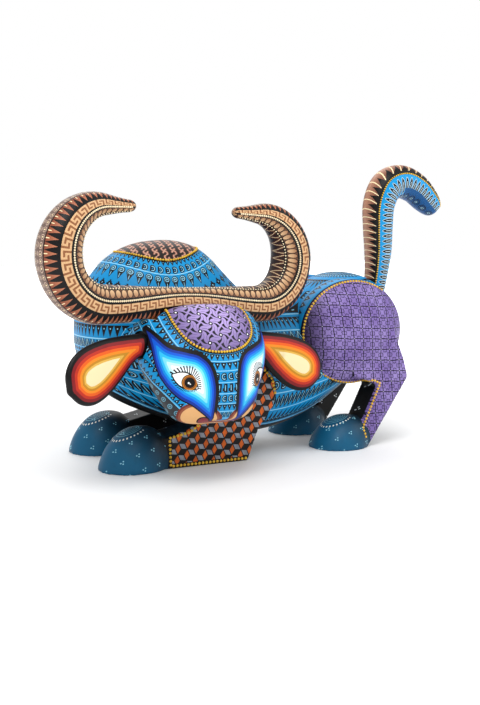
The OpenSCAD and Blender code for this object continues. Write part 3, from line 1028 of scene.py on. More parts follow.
def horn_place(distance):
    """The middle of the horns at a distance from their middle, and the direction onwards from there."""
    side = np.sign(distance) if distance else 1.0
    run = abs(distance)
    turn = (run - BAR_HALF) / CURL_RADIUS
    middle = np.array([HORN_SHIFT, 0, BAR_HEIGHT], float)
    if turn <= 0:
        return middle + [distance, 0, 0], np.array([1.0, 0, 0])
    if turn < math.pi:
        reach = (side * (BAR_HALF + CURL_RADIUS * math.sin(turn)), 0, CURL_RADIUS * (1 - math.cos(turn)))
        return middle + reach, np.array([math.cos(turn), 0, side * math.sin(turn)])
    reach = (side * (HORN_HALF - run + BAR_HALF - TIP_LENGTH), 0, 2 * CURL_RADIUS)
    return middle + reach, np.array([-1.0, 0, 0])


def horn_size(distance):
    run = abs(distance)
    tip = math.sqrt(1 - (max(0.03, 1 - (HORN_HALF - run) / HORN_TIP_ROUND) - 0.03) ** 2)
    return HORN_RADIUS * np.interp(run / HORN_HALF, HORN_TABLE[:, 0], HORN_TABLE[:, 1]) * tip


def horn_point(distance, turn):
    """A point on the horns' skin. The turn, in degrees, is 0 on the inside of the curls and 90 in front."""
    middle, ahead = horn_place(distance)
    inside = np.cross(ahead, (0, 1, 0))
    angle = math.radians(turn)
    return middle + horn_size(distance) * (inside * math.cos(angle) - np.array([0, math.sin(angle), 0]))


def horn_twist(distance):
    """The bands lean over the bar towards its top. This is by how many degrees."""
    share = np.clip(np.abs(distance) / 60, 0, 1)
    return HORN_TWIST * (1 - share * share * (3 - 2 * share))


# Turns at the edges of the horns' bands, in degrees.
INNER_BAND = 31
INNER_BEADS = 35
PETALS = (40, 70)
BEADS = 78
KEY = (87, 114)
SPIKES = (116, 158)
OUTER_END = -60
# Lengths of one cell of each band along the horns, and the height of the key's cell.
CURL_PITCH = 3.4
ZIG_PITCH = 9
PETAL_PITCH = 4.5
KEY_PITCH = 7.1
KEY_HEIGHT = 5.2
SPIKE_PITCH = 3.4
# The strokes of the key, as low and high x in sixths of a cell and low and high y in fifths of it.
KEY_STROKES = [(0, 1, 0, 5), (0, 5, 4, 5), (4, 5, 2, 5), (2, 5, 2, 3), (2, 3, 0, 3), (2, 6, 0, 1)]


def horn_facts(distances, turns):
    twisted = turns[None, :] + horn_twist(distances)[:, None]
    along = np.repeat(distances[:, None], len(turns), axis=1)
    return {
        "horn": np.stack([along, along * 0, along * 0], -1),
        "band": np.stack([twisted / 360, along * 0, along * 0], -1),
    }


def greek_key(x, y, w, h):
    """A meander line one sixth of a cell thick, with x from 0 to w and y from 0 to h."""
    line = None
    for low_x, high_x, low_y, high_y in KEY_STROKES:
        stroke = in_box(x, y, low_x * w / 6, high_x * w / 6, low_y * h / 5, high_y * h / 5)
        line = line | stroke if line else stroke
    return line


def horn_paint():
    paint = Paint("horn_paint", rgb("4a352b"))
    along, _, _ = paint.fact("horn")
    turn, _, _ = paint.fact("band")
    turn = ((turn + 0.5).fract() - 0.5) * 360
    outer = (turn > SPIKES[1]) | (turn < OUTER_END)
    paint.coat(outer, rgb("6f5b52"))
    drift = (paint.noise(6, 1) - 0.5) * 2.4
    dot_x = (along + drift).cell(CURL_PITCH)
    dot_y = ((turn / 16 + drift * 0.1).fract() - 0.5) * CURL_PITCH
    curl = paint.hypot(dot_x, dot_y)
    paint.coat(outer & (abs(curl - 1.15) < 0.17), rgb("c2a896"))
    paint.coat(outer & (curl < 0.38), CREAM)
    inner = turn.between(OUTER_END, INNER_BAND)
    paint.coat(inner, rgb("2a1d1a"))
    zig_x = along.cell(ZIG_PITCH)
    zig = abs(turn / INNER_BAND * 4 - abs(zig_x) * 1.6 + 1.5)
    paint.coat(inner & (zig < 0.35), CREAM)
    paint.coat(inner & (abs(zig - 1.3) < 0.5), rgb("6b3a2c"))
    paint.coat(turn.between(INNER_BAND, SPIKES[1]), BLACK)
    petal_x = along.cell(PETAL_PITCH)
    petal_y = (turn - PETALS[0]) / (PETALS[1] - PETALS[0])
    inside = turn.between(*PETALS)
    paint.coat(inside, rgb("5c3c2b"))
    lean = petal_x + petal_y * 1.2 - 0.6
    petal = paint.hypot(lean / 1.9, (petal_y - 0.5) / 0.5)
    light = paint.blend(petal_y.clip(), rgb("d8b48a"), rgb("8f6040"))
    paint.coat(inside & (petal < 1), light)
    paint.coat(inside & (abs(petal - 1) < 0.09), BLACK)
    key_x = (along / KEY_PITCH).fract() * KEY_PITCH
    key_y = (turn - KEY[0]) / (KEY[1] - KEY[0]) * KEY_HEIGHT
    inside = turn.between(*KEY)
    paint.coat(inside, rgb("875737"))
    paint.coat(inside & greek_key(key_x, key_y, KEY_PITCH, KEY_HEIGHT), rgb("cda478"))
    spike_x = along.cell(SPIKE_PITCH)
    spike_y = (turn - SPIKES[0]) / (SPIKES[1] - SPIKES[0])
    inside = turn.between(*SPIKES)
    tooth = abs(spike_x) < spike_y * 2.0 - 0.25
    shaded = paint.blend(spike_y.clip(), rgb("c07a5a"), rgb("7a3f2c"))
    paint.coat(inside & tooth, shaded)
    tick = (abs(spike_x) < 0.22) & (spike_y > 0.72)
    paint.coat(inside & tick, CREAM)
    paint.coat(abs(turn - SPIKES[1]) < 1.6, BLACK)
    return paint.finish()


def horn_line(band):
    """A line of the horns' pattern, from one tip to the other."""
    distances = np.linspace(-1, 1, 900) * (HORN_HALF - HORN_TIP_ROUND)
    turns = band - horn_twist(distances)
    places = np.array([horn_point(d, turn) for d, turn in zip(distances, turns)])
    middles = np.array([horn_place(d)[0] for d in distances])
    return rows_to_bull(np.hstack([places, places - middles]))


# Rows along the horns' mesh, and points round it. The second share draws the rows together at the tips.
HORN_ROWS = 431
HORN_SIDES = 64
HORN_SPREAD = (0.65, 0.35)
# Half the width of the block that cuts the seat flat.
SEAT_BLOCK = 50


def make_horns(wood, cream):
    even, tips = HORN_SPREAD
    sweep = np.linspace(-1, 1, HORN_ROWS)
    distances = HORN_HALF * (even * sweep + tips * np.sin(sweep * math.pi / 2))
    turns = np.linspace(-180, 180, HORN_SIDES, endpoint=False)
    grid = np.array([[horn_point(d, turn) for turn in turns] for d in distances])
    facts = horn_facts(distances, turns)
    made = loft("carved_horns", head_to_bull(grid), facts, cyclic=("band",))
    made.data.materials.append(horn_paint())
    flat = block_points((-SEAT_BLOCK, -SEAT_BLOCK, 0), (SEAT_BLOCK, SEAT_BLOCK, HORN_SEAT + SEAT_GAP))
    cutters = [loft("flat", head_to_bull(flat))]
    length = BAR_HEIGHT - HORN_PEG_BOTTOM
    for side in (-1, 1):
        middle = (side * HORN_PEG_SPACING / 2, 0, HORN_PEG_BOTTOM + length / 2)
        cutters.append(loft("bore", head_to_bull(rod_points(middle, (0, 0, 1), PEG_RADIUS, length))))
    cut(made, cutters, wood)
    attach(made, "horns")
    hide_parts("horns")
    bead_row("horn_beads", "horn", horn_line(BEADS), cream, "horns")
    bead_row("horn_inner_beads", "inner_horn", horn_line(INNER_BEADS), cream, "horns")


# ---------------------------------------------------------------- ears and tail

# Distance along the ear as a share, half width and half thickness.
EAR_STATIONS = [
    (0, 8, 8), (0.08, 8, 7.4), (0.2, 10, 6), (0.4, 14.6, 4.8), (0.62, 17.6, 4.6), (0.8, 16.6, 4.4),
    (0.93, 11, 3.6), (1, 1.5, 1),
]
EAR_LENGTH = 64
EAR_SWEEP = 13
EAR_DROOP = 28
EAR_BANDS = [
    (2.6, "7c181c"), (4.6, "b42c1a"), (6.4, "dc5a18"), (8.2, "e2841e"), (9.8, "b87e1e"), (11.2, "d3a646"),
    (12.5, "ebd7a8"),
]


def ear_angles():
    return [-EAR_DROOP * min(1, share / 0.25) - EAR_PEG_SLOPE for share, _, _ in EAR_STATIONS]


def ear_grid(steps=8, sides=56):
    angles = ear_angles()
    rows = []
    reach = np.zeros(2)
    for i, (share, half_width, half_thickness) in enumerate(EAR_STATIONS):
        if i:
            angle = math.radians((angles[i] + angles[i - 1]) / 2)
            step = (share - EAR_STATIONS[i - 1][0]) * EAR_LENGTH
            reach = reach + step * np.array([math.cos(angle), math.sin(angle)])
        rows.append([*reach, half_width, half_thickness, math.radians(angles[i]) if i else 0])
    return np.array([
        ring((x + SEAT_GAP, -EAR_SWEEP * x / EAR_LENGTH, z),
             (-half_width * math.sin(angle), 0, half_width * math.cos(angle)), (0, half_thickness, 0),
             turns_from(0, sides))
        for x, z, half_width, half_thickness, angle in smooth(rows, steps)
    ])


def ear_paint():
    paint = Paint("ear_paint", BLACK)
    depth, _, _ = paint.fact("ear")
    wobble = (paint.noise(12) - 0.5) * 0.8
    for inset, code in EAR_BANDS:
        paint.coat(depth + wobble > inset, rgb(code))
    return paint.finish()


def make_ear(name, left, paint, wood):
    grid = ear_grid()
    flat = grid[..., [0, 2]]
    half = grid.shape[1] // 2
    outline = np.vstack([flat[:, 0], flat[::-1, half]])
    depth = depth_inside(flat.reshape(-1, 2), outline).reshape(flat.shape[:2])
    zero = depth * 0
    shape = grid.shape
    placed = ear_to_head(grid.reshape(-1, 3), left).reshape(shape)
    made = loft("carved_" + name, head_to_bull(placed), {"ear": np.stack([depth, zero, zero], -1)})
    made.data.materials.append(paint)
    bore = rod_points((0, 0, 0), (1, 0, 0), PEG_RADIUS, EAR_PEG_LENGTH)
    placed = ear_to_head(bore.reshape(-1, 3), left).reshape(bore.shape)
    cut(made, [loft("bore", head_to_bull(placed))], wood)
    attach(made, name)
    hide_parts(name)


TAIL_THICKNESS = 26
TAIL_STATIONS = [
    (-0.5, -3, 0.31), (2.5, 16, 0.35), (4, 34, 0.41), (3.6, 54, 0.45), (4.2, 71, 0.48), (11, 85, 0.5),
    (23.5, 89, 0.5), (37, 84.5, 0.47), (48, 75.5, 0.42), (56, 68.5, 0.3), (59, 66, 0.04),
]
TAIL_BEADS = 62
# Turns at the end of the tail's spikes and at the edges of its row of leaves, in degrees.
TAIL_SPIKES = 50
TAIL_LEAVES = (74, 138)
# The rings reach further round on the hook: from this turn, and from this distance along the tail.
TAIL_HOOK = (112, 100)
# Lengths of one spike, one leaf and one ring along the tail.
TAIL_SPIKE = 5.2
TAIL_LEAF = 4
TAIL_RING = 8
# How many of the last rows of the tail are too thin for beads.
TAIL_END_ROWS = 8


def tail_rows(steps=16):
    """Middles, directions onwards, half widths and distances along the tail."""
    rows = smooth(TAIL_STATIONS, steps)
    middles = TAIL_ROOT + np.stack([rows[:, 0], rows[:, 0] * 0, rows[:, 1]], -1)
    ahead = np.gradient(middles, axis=0)
    ahead /= np.linalg.norm(ahead, axis=1)[:, None]
    along = np.concatenate([[0], np.cumsum(np.linalg.norm(np.diff(middles, axis=0), axis=1))])
    return middles, ahead, rows[:, 2] * TAIL_THICKNESS, along


def tail_points(middle, ahead, half, turns):
    """Points round the tail. The turn, in degrees, is 0 on the outside of its hook and 90 on its left."""
    outside = np.cross(ahead, (0, 1, 0))
    angle = np.radians(turns)
    return middle + half * (np.outer(np.cos(angle), outside) - np.outer(np.sin(angle), (0, 1, 0)))


def tail_paint():
    paint = Paint("tail_paint", rgb("0a8cc8"))
    along, _, _ = paint.fact("tail")
    turn, _, _ = paint.fact("wrap")
    turn = abs(((turn + 0.5).fract() - 0.5) * 360)
    low_turn, high_turn = TAIL_LEAVES
    leaf_x = along.cell(TAIL_LEAF)
    leaf_y = (turn - low_turn) / (high_turn - low_turn)
    inside = turn.between(low_turn, high_turn)
    half = (leaf_y.clip() * math.pi).sin() ** 0.6 * (0.44 * TAIL_LEAF)
    paint.coat(inside & (abs(leaf_x) < half), rgb("b9cdd4"))
    paint.coat(inside & (abs(leaf_x) < half - 0.35), BLACK)
    paint.coat(inside & (abs(leaf_x) < 0.25) & (abs(leaf_y - 0.5) < 0.25), rgb("b9cdd4"))
    under = (turn > high_turn) | ((turn > TAIL_HOOK[0]) & (along > TAIL_HOOK[1]))
    ring_x = along.cell(TAIL_RING)
    ring_y = (turn - 150) * 0.2
    far = paint.hypot(ring_x, ring_y)
    paint.coat(under, rgb("0d4c82"))
    paint.coat(under & ((far / 1.3).fract() < 0.5) & (far < 0.5 * TAIL_RING), rgb("070d16"))
    paint.coat(under & (abs(far - 1.0) < 0.25), rgb("8fb8cc"))
    paint.coat(turn < TAIL_BEADS + 3, BLACK)
    spike_y = turn / TAIL_SPIKES
    spike_x = (along + spike_y * spike_y * (0.4 * TAIL_SPIKE)).cell(TAIL_SPIKE)
    tooth = abs(spike_x) < (0.52 - 0.5 * spike_y ** 2.2) * TAIL_SPIKE
    inside = turn < TAIL_SPIKES
    paint.coat(inside & tooth, paint.blend(spike_y.clip(), rgb("b07f66"), rgb("5c2c20")))
    paint.coat(inside & tooth & (abs(spike_x) < 0.3), CREAM)
    return paint.finish()


def tail_line(side):
    """The line of beads along one edge of the tail's dark stripe."""
    rows = []
    for middle, ahead, half, _ in zip(*tail_rows()):
        place = tail_points(middle, ahead, half, [side * TAIL_BEADS])[0]
        if place[2] > TAIL_ROOT[2] + 1:
            rows.append([*place, *(place - middle)])
    return rows[:-TAIL_END_ROWS]


def make_tail(wood, gold):
    middles, ahead, halves, along = tail_rows()
    turns = np.linspace(-180, 180, 64, endpoint=False)
    grid = np.array([tail_points(m, a, h, turns) for m, a, h in zip(middles, ahead, halves)])
    run = np.repeat(along[:, None], len(turns), axis=1)
    facts = {
        "tail": np.stack([run, run * 0, run * 0], -1),
        "wrap": np.stack([run * 0 + turns / 360, run * 0, run * 0], -1),
    }
    made = loft("carved_tail", grid, facts, cyclic=("wrap",))
    made.data.materials.append(tail_paint())
    reach = 60
    low = TAIL_ROOT + [-reach, -reach, -reach]
    high = TAIL_ROOT + [reach, reach, SEAT_GAP]
    bore = rod_points(TAIL_ROOT, (0, 0, 1), PEG_RADIUS, TAIL_PEG_LENGTH)
    cut(made, [loft("below", block_points(low, high)), loft("bore", bore)], wood)
    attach(made, "tail")
    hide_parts("tail")
    for side, which in ((-1, "right"), (1, "left")):
        bead_row("tail_beads_" + which, "tail", tail_line(side), gold, "tail")


# ---------------------------------------------------------------- legs

LEG_INNER = 22
LEG_THICKNESS = 25
HOOF_SPREAD = 32.5
FRONT_HOOF_X = -80
HIND_HOOF_X = 85.5
# Half length, half width and height of the hooves.
FRONT_HOOF = np.array([24, 22, 29])
HIND_HOOF = FRONT_HOOF * [0.95, 0.98, 0.81]
HOOF_LEAN = 6
ARM_OUTLINE = [
    (-62, 0), (2, 0), (11, 23), (22, 37), (25.5, 47), (23, 58), (14, 68), (2, 73), (-11, 70), (-21, 60),
    (-25, 46), (-31, 34), (-44, 26), (-62, 22),
]
SHANK_OUTLINE = [
    (96, 74), (125, 88), (135, 64), (138.5, 51), (104, 1), (98, 2), (96, 14), (112, 46), (104, 50), (90, 54),
]
SHANK_INSET = 1
HAUNCH_MIDDLE = np.array([94, 86.5])
HAUNCH_HALF = np.array([44.5, 39.5])
HAUNCH_BASE = 12
JIGSAW_PITCH = 8
# The edges of the black line round the haunch, across from the middle plane. Inside it the wall is azure
# at the top and front, and black elsewhere.
HAUNCH_LINE = (36, 39)
# The row of triangles on that wall: its edges, how many cells go round, and the width of a cell.
WALL_ROW = (26, 33)
WALL_CELLS = 44
WALL_CELL = 6
CUBE_SIZE = 4.6
CUBE_LEAN = 0.42
# The three dots of a sprinkled set.
SPRINKLE_DOTS = [(-1.1, 0.2), (1.0, 0.7), (0.1, -1.1)]
SPRINKLE_RADIUS = 0.52
# How far behind the middle of the front hoof the cube field starts.
FIELD_START = 22
HAUNCH_DOME = LEG_THICKNESS + 3 - HAUNCH_BASE


def plate(outline, near, far, side):
    """An outline in X and Z, thickened across the bull between two distances from its middle plane."""
    return np.array([[(x, side * y, z) for x, z in outline] for y in (near, far)])


def hoof_grid(x, size, side):
    half_length, half_width, height = size
    return np.array([
        ring((x + HOOF_LEAN * math.sin(turn), side * HOOF_SPREAD, height * math.sin(turn)),
             (half_length * math.cos(turn) ** 0.85, 0, 0),
             (0, half_width * math.cos(turn) ** 0.85, 0), turns_from(0, 64))
        for turn in np.radians(np.linspace(0, 86, 18))
    ])


def haunch_grid(side):
    rows = [(-HAUNCH_BASE / HAUNCH_DOME, 0)]
    rows += [(math.sin(turn) ** 1.2, turn) for turn in np.radians(np.linspace(0, 88, 22))]
    outline = HAUNCH_HALF * np.stack([np.cos(turns_from(0, 90)), np.sin(turns_from(0, 90))], -1)
    grid = []
    for out, turn in rows:
        spots = HAUNCH_MIDDLE + outline * math.cos(turn) ** 0.8
        y = side * (LEG_INNER + HAUNCH_BASE + HAUNCH_DOME * out)
        grid.append([(x, y, z) for x, z in spots])
    return np.array(grid)


def fuse(name, grids, voxel=1.15, rounds=5):
    """One carved piece out of several overlapping solids, with softened edges."""
    parts = [loft(name, grid) for grid in grids]
    with bpy.context.temp_override(active_object=parts[0], selected_editable_objects=parts):
        bpy.ops.object.join()
    made = parts[0]
    remesh = made.modifiers.new("fuse", "REMESH")
    remesh.mode = "VOXEL"
    remesh.voxel_size = voxel * MM
    soften = made.modifiers.new("soften", "SMOOTH")
    soften.factor = 0.5
    soften.iterations = rounds
    apply_modifiers(made)
    made.data.shade_smooth()
    return made


def sprinkle(paint, where, colour, size=13):
    """Scattered sets of three small dots, on the side planes of the piece."""
    x, y, z = paint.place()
    u = x + z * 0.37
    v = z - x * 0.29 + y * 0.6
    cell_x = u.cell(size)
    cell_y = v.cell(size)
    dots = None
    for dot_x, dot_y in SPRINKLE_DOTS:
        dot = paint.hypot(cell_x - dot_x, cell_y - dot_y) < SPRINKLE_RADIUS
        dots = dots | dot if dots else dot
    paint.coat(dots & where, colour)


def hoof_coats(paint, x, y, z, hoof_x, size):
    """A teal hoof that darkens upwards and to the rear, with arcs and dots over its front."""
    half_length, half_width, height = (float(number) for number in size)
    rise = (z / height).clip()
    spread = paint.hypot((x - hoof_x - rise * HOOF_LEAN) / half_length, (abs(y) - HOOF_SPREAD) / half_width)
    inside = (spread - (1 - rise * rise + 0.0001) ** 0.425 < 0.07) & (z < height + 1.5)
    top = (x - hoof_x) / 34 + z / 36 - 0.05
    teal = paint.blend(top.clip(), rgb("14587a"), rgb("151c22"))
    paint.coat(inside, teal)
    sprinkle(paint, inside, rgb("86c4d6"), 12)
    arc_x = x - hoof_x + 2
    arc_y = abs(y) - HOOF_SPREAD
    far = paint.hypot(arc_x / 1.0, arc_y / 0.9)
    crown = inside & (z > height * 0.48) & (x < hoof_x + 6)
    lines = ((far / 1.7).fract() < 0.22) & (far < 9)
    paint.coat(crown & lines, rgb("6aa0b0"))
    turn = paint.angle(arc_y, arc_x) / (2 * math.pi)
    dot_x = ((turn * 26).fract() - 0.5) * 2.7
    dots = paint.hypot(dot_x, far - 11.5) < 0.6
    paint.coat(crown & dots, rgb("e6e6dc"))


def cubes(paint, x, z, size):
    """Tumbling blocks: hexagons split into three rhombs. Gives masks for two of them and for the edges."""
    width, height = size * math.sqrt(3), size * 3
    first_x = x.cell(width)
    first_z = z.cell(height)
    second_x = (x + width / 2).cell(width)
    second_z = (z + height / 2).cell(height)
    nearer = (first_x * first_x + first_z * first_z) < (second_x * second_x + second_z * second_z)
    cell_x = first_x * nearer + second_x * (1 - nearer)
    cell_z = first_z * nearer + second_z * (1 - nearer)
    turn = paint.angle(cell_z, cell_x) * (180 / math.pi)
    off_x, half_line = abs(cell_x), 0.07 * size
    lean_x, lean_z = off_x * 0.5, cell_z * (math.sqrt(3) / 2)
    rim = width / 2 - (off_x | (lean_x + abs(lean_z)))
    edges = (rim < half_line) | (abs(lean_z - lean_x) < half_line) | ((off_x < half_line) & (cell_z < 0))
    return (turn < 30) & (turn > -90), (turn < -90) | (turn > 150), edges


def front_leg_paint():
    paint = Paint("front_leg_paint", BLACK)
    x, y, z = paint.place()
    outside = abs(y) > LEG_INNER + LEG_THICKNESS - 1.6
    right, left, edges = cubes(paint, *lean_over(x, z, CUBE_LEAN), CUBE_SIZE)
    field = outside & (x > FRONT_HOOF_X + FIELD_START + 1.6) & (z > 3.4) & (1 - edges)
    smudge = paint.noise(4)
    orange = paint.blend((smudge * 2 - 0.6).clip(), rgb("dc661e"), rgb("a84d1a"))
    grey = paint.blend((smudge * 2 - 0.6).clip(), rgb("969aa4"), rgb("64666e"))
    paint.coat(field & right, orange)
    paint.coat(field & left, grey)
    rear = abs(y) < LEG_INNER + LEG_THICKNESS - 3
    sprinkle(paint, rear & (z > 4), rgb("c9cfd0"), 17)
    hoof_coats(paint, x, y, z, FRONT_HOOF_X, FRONT_HOOF)
    return paint.finish()


# The painted shade that darkens the haunch's front: where it starts ahead of the middle, its run, and its
# lowest height.
SHADE_START = 24
SHADE_RUN = 19
SHADE_FOOT = 40
# The jigsaw: how far its rows lean and wander, its knobs and leaves, and its seams.
JIGSAW_LEAN = (0.1, 0.06)
JIGSAW_WOBBLE = 2.2
KNOB_INSET = 0.9
KNOB_RADIUS = 1.3
LEAF_RADIUS = 2.5
SEAM_HALF = 0.38
CORNER_DOT = 0.34
# The black line on the haunch's rim, as shares of its size, and the edge of the dark wall behind it.
RIM_LINE = (0.972, 1.02)
DARK_EDGE = 3.6
WALL_SPRINKLES = 15
# The azure part of the wall is above this height, and ahead of this distance behind the middle.
WALL_FOOT = 60
WALL_BACK = 20


def hind_leg_paint():
    paint = Paint("hind_leg_paint", rgb("7560a0"))
    x, y, z = paint.place()
    paint.coat(((paint.noise(16) - 0.4) * 2).clip(), rgb("a190ca"))
    middle_x, middle_z = (float(number) for number in HAUNCH_MIDDLE)
    half_x, half_z = (float(number) for number in HAUNCH_HALF)
    rim = paint.hypot((x - middle_x) / half_x, (z - middle_z) / half_z)
    # Painted shade: the haunch darkens towards its front, as if its dome turned away from the light.
    front_painted_shade = ((middle_x - SHADE_START - x) / SHADE_RUN).clip() & (z > SHADE_FOOT)
    wobble = (paint.noise(9, 1) - 0.5) * JIGSAW_WOBBLE
    u = x + z * JIGSAW_LEAN[0] + wobble
    v = z + x * JIGSAW_LEAN[1] + wobble
    cell_u = u.cell(JIGSAW_PITCH)
    cell_v = v.cell(JIGSAW_PITCH)
    edge_u = JIGSAW_PITCH / 2 - abs(cell_u)
    edge_v = JIGSAW_PITCH / 2 - abs(cell_v)
    # The ink of the jigsaw's seams, which is also the colour of the painted shade at the haunch's front.
    ink_and_painted_shade = rgb("15101f")
    knob = abs(paint.hypot(edge_u - KNOB_INSET, cell_v) - KNOB_RADIUS) < 0.2
    tab = abs(paint.hypot(cell_u, edge_v - KNOB_INSET) - KNOB_RADIUS) < 0.2
    leaf = abs(paint.hypot(cell_u, cell_v) - LEAF_RADIUS) < 0.13
    paint.coat(knob | tab | leaf, rgb("2f2348"))
    paint.coat((edge_u < SEAM_HALF) | (edge_v < SEAM_HALF), ink_and_painted_shade)
    paint.coat(paint.hypot(edge_u, edge_v) < CORNER_DOT, rgb("b9aed0"))
    # Lays the painted shade over the haunch's front, in the seams' ink colour.
    paint.coat(front_painted_shade * 0.85, ink_and_painted_shade)
    dark = (rim > RIM_LINE[1]) & (abs(y) < LEG_INNER + LEG_THICKNESS - DARK_EDGE)
    paint.coat(dark, BLACK)
    paint.coat(rim.between(*RIM_LINE) & (abs(y) < HAUNCH_LINE[1]), BLACK)
    wall = (rim > RIM_LINE[0]) & (abs(y) < HAUNCH_LINE[0])
    body_side = wall & (z > WALL_FOOT) & (x < middle_x + WALL_BACK)
    paint.coat(body_side, AZURE)
    wall_turn = paint.angle(z - middle_z, x - middle_x) / (2 * math.pi)
    wall_x = ((wall_turn * WALL_CELLS).fract() - 0.5) * WALL_CELL
    low, high = WALL_ROW
    on_row = (abs(y) > low) & (abs(y) < high)
    lay(paint, triangles(wall_x, abs(y) - low, WALL_CELL, high - low), body_side & on_row)
    sprinkle(paint, dark, rgb("c9cfd0"), WALL_SPRINKLES)
    hoof_coats(paint, x, y, z, HIND_HOOF_X, HIND_HOOF)
    return paint.finish()


def inset_line(outline, gap):
    """The corners of an outline, each moved inwards by about the gap."""
    outline = np.array(outline, float)
    before = outline - np.roll(outline, 1, axis=0)
    after = np.roll(outline, -1, axis=0) - outline
    ahead = before / np.linalg.norm(before, axis=1)[:, None] + after / np.linalg.norm(after, axis=1)[:, None]
    ahead /= np.linalg.norm(ahead, axis=1)[:, None]
    return outline + gap * np.stack([-ahead[:, 1], ahead[:, 0]], -1)


# Where the rays that find the skin start, across from the middle plane, and the distance between them.
CAST_START = 80
CAST_PITCH = 0.7


def cast_across(made, line, side):
    """Bead rows where a line of X and Z meets the outer side of a piece."""
    mesh = made.data
    tree = BVHTree.FromPolygons([v.co for v in mesh.vertices], [p.vertices for p in mesh.polygons])
    flat = spaced(line, CAST_PITCH)
    rows = []
    for x, z in flat:
        start = Vector(to_metres((x, side * CAST_START, z)))
        place, out, _, _ = tree.ray_cast(start, Vector((0, -side, 0)))
        if place is not None:
            rows.append([*((np.array(place) - BULL_ORIGIN) / MM), *out])
    return np.array(rows)


# The haunch's beads: first and last degrees round it, how far out they lie, and their corners on the shank.
HAUNCH_BEAD_TURNS = (54, 288)
HAUNCH_BEAD_SHARE = 0.955
SHANK_BEADS = [(113.2, 47.5), (98, 14.5), (99.4, 8.5)]


def haunch_line():
    """Round the front of the haunch, from its top to the bottom, and down the front of the shank."""
    angles = np.radians(np.linspace(*HAUNCH_BEAD_TURNS, 60))
    rim = HAUNCH_MIDDLE + HAUNCH_HALF * HAUNCH_BEAD_SHARE * np.stack([np.cos(angles), np.sin(angles)], -1)
    return np.vstack([rim, SHANK_BEADS])


def arm_line():
    """Round the cube field: along the top of the arm, down behind the hoof and along the bottom."""
    inner = inset_line(ARM_OUTLINE, 1.9)
    field_x = FRONT_HOOF_X + FIELD_START
    top = inner[4:13]
    return np.vstack([top, [(field_x, 21.5), (field_x + 0.7, 1.9)], [(0, 1.9)]])


def make_legs(gold):
    far_plane = LEG_INNER + LEG_THICKNESS
    front_paint, hind_paint = front_leg_paint(), hind_leg_paint()
    for side, which in ((-1, "left"), (1, "right")):
        arm = plate(ARM_OUTLINE, LEG_INNER, far_plane, side)
        front = fuse("carved_front_leg_" + which, [arm, hoof_grid(FRONT_HOOF_X, FRONT_HOOF, side)])
        front.data.materials.append(front_paint)
        shank = plate(SHANK_OUTLINE, LEG_INNER + SHANK_INSET, far_plane, side)
        hoof = hoof_grid(HIND_HOOF_X, HIND_HOOF, side)
        hind = fuse("carved_hind_leg_" + which, [haunch_grid(side), shank, hoof])
        hind.data.materials.append(hind_paint)
        arm_beads, haunch_beads = cast_across(front, arm_line(), side), cast_across(hind, haunch_line(), side)
        bead_row("arm_beads_" + which, "arm", arm_beads, gold, "root")
        bead_row("haunch_beads_" + which, "haunch", haunch_beads, gold, "root")
        for made, kind in ((front, "front_leg"), (hind, "hind_leg")):
            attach(made, "root")
            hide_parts(kind + "_" + which)


# ---------------------------------------------------------------- stage

CAMERA_TARGET = np.array([20, 2, 70.6])
CAMERA_AZIMUTH = -26.5
CAMERA_HEIGHT = 7.2
CAMERA_AWAY = 800
CAMERA_LENS = 54.5
SKY_LIGHT = 0.66
# The floor starts to glow this far from the bull, and is fully white this much further out, in mm.
GLOW_START = 230
GLOW_RUN = 420
FLOOR_HALF = 3
LAMP_TARGET = Vector((0, 0, 0.08))


def light(name, place, size, watts):
    lamp = bpy.data.lights.new(name, "AREA")
    lamp.size = size
    lamp.energy = watts
    made = bpy.data.objects.new(name, lamp)
    made.location = place
    made.rotation_euler = (LAMP_TARGET - Vector(place)).to_track_quat("-Z", "Y").to_euler()
    bpy.context.scene.collection.objects.link(made)
    return made


def floor_paint():
    """A pale floor that brightens to the white of the studio with distance from the bull."""
    paint = Paint("floor_paint", rgb("f6f6f6"), roughness=0.5, grain=0, wear=0.02)
    x, y, _ = paint.place()
    glow = ((paint.hypot(x, y) - GLOW_START) / GLOW_RUN).clip()
    made = paint.finish()
    shader = made.node_tree.nodes["Principled BSDF"]
    shader.inputs["Emission Color"].default_value = (1, 1, 1, 1)
    made.node_tree.links.new(glow.socket, shader.inputs["Emission Strength"])
    return made


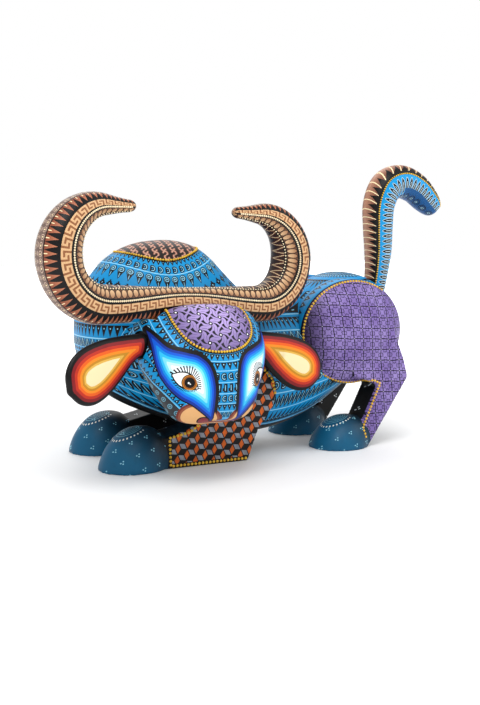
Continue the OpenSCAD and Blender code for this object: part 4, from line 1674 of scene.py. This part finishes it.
def make_stage():
    azimuth, height = math.radians(CAMERA_AZIMUTH), math.radians(CAMERA_HEIGHT)
    level = math.cos(height)
    back = np.array([math.sin(azimuth) * level, -math.cos(azimuth) * level, math.sin(height)])
    camera = bpy.data.objects.new("camera", bpy.data.cameras.new("camera"))
    camera.data.lens = CAMERA_LENS
    camera.location = to_metres(CAMERA_TARGET + back * CAMERA_AWAY)
    camera.rotation_euler = Vector(back).to_track_quat("Z", "Y").to_euler()
    bpy.context.scene.collection.objects.link(camera)
    bpy.context.scene.camera = camera
    corners = [(x * FLOOR_HALF, y * FLOOR_HALF, 0) for x, y in ((-1, -1), (1, -1), (1, 1), (-1, 1))]
    floor = mesh_object("floor", corners, [(0, 1, 2, 3)])
    floor.data.materials.append(floor_paint())
    world = bpy.data.worlds.new("studio")
    world.use_nodes = True
    ways = world.node_tree.nodes.new("ShaderNodeLightPath")
    strength = world.node_tree.nodes.new("ShaderNodeMapRange")
    strength.inputs["To Min"].default_value = SKY_LIGHT
    strength.inputs["To Max"].default_value = 1
    world.node_tree.links.new(ways.outputs["Is Camera Ray"], strength.inputs["Value"])
    background = world.node_tree.nodes["Background"]
    background.inputs["Color"].default_value = (1, 1, 1, 1)
    world.node_tree.links.new(strength.outputs["Result"], background.inputs["Strength"])
    bpy.context.scene.world = world
    light("key", (-0.5, -0.7, 1.4), 0.9, 14)
    light("fill", (0.9, -0.7, 0.9), 1.0, 6)
    light("back", (0.2, 1.0, 1.2), 1.2, 8)
    bpy.context.scene.view_settings.view_transform = "Standard"


wood = bare_wood()
gold = bead_paint("gold_beads", rgb("e6b83a"), rgb("a87e24"))
cream = bead_paint("cream_beads", rgb("f6e6c2"), rgb("cfa878"))
make_torso(wood, gold)
make_neck()
make_head(wood, gold)
make_horns(wood, cream)
paint = ear_paint()
make_ear("ear_left", True, paint, wood)
make_ear("ear_right", False, paint, wood)
make_tail(wood, gold)
make_legs(gold)
for name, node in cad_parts.items():
    if "peg" in name or "dowel" in name:
        node.data.materials.clear()
        node.data.materials.append(wood)
make_stage()
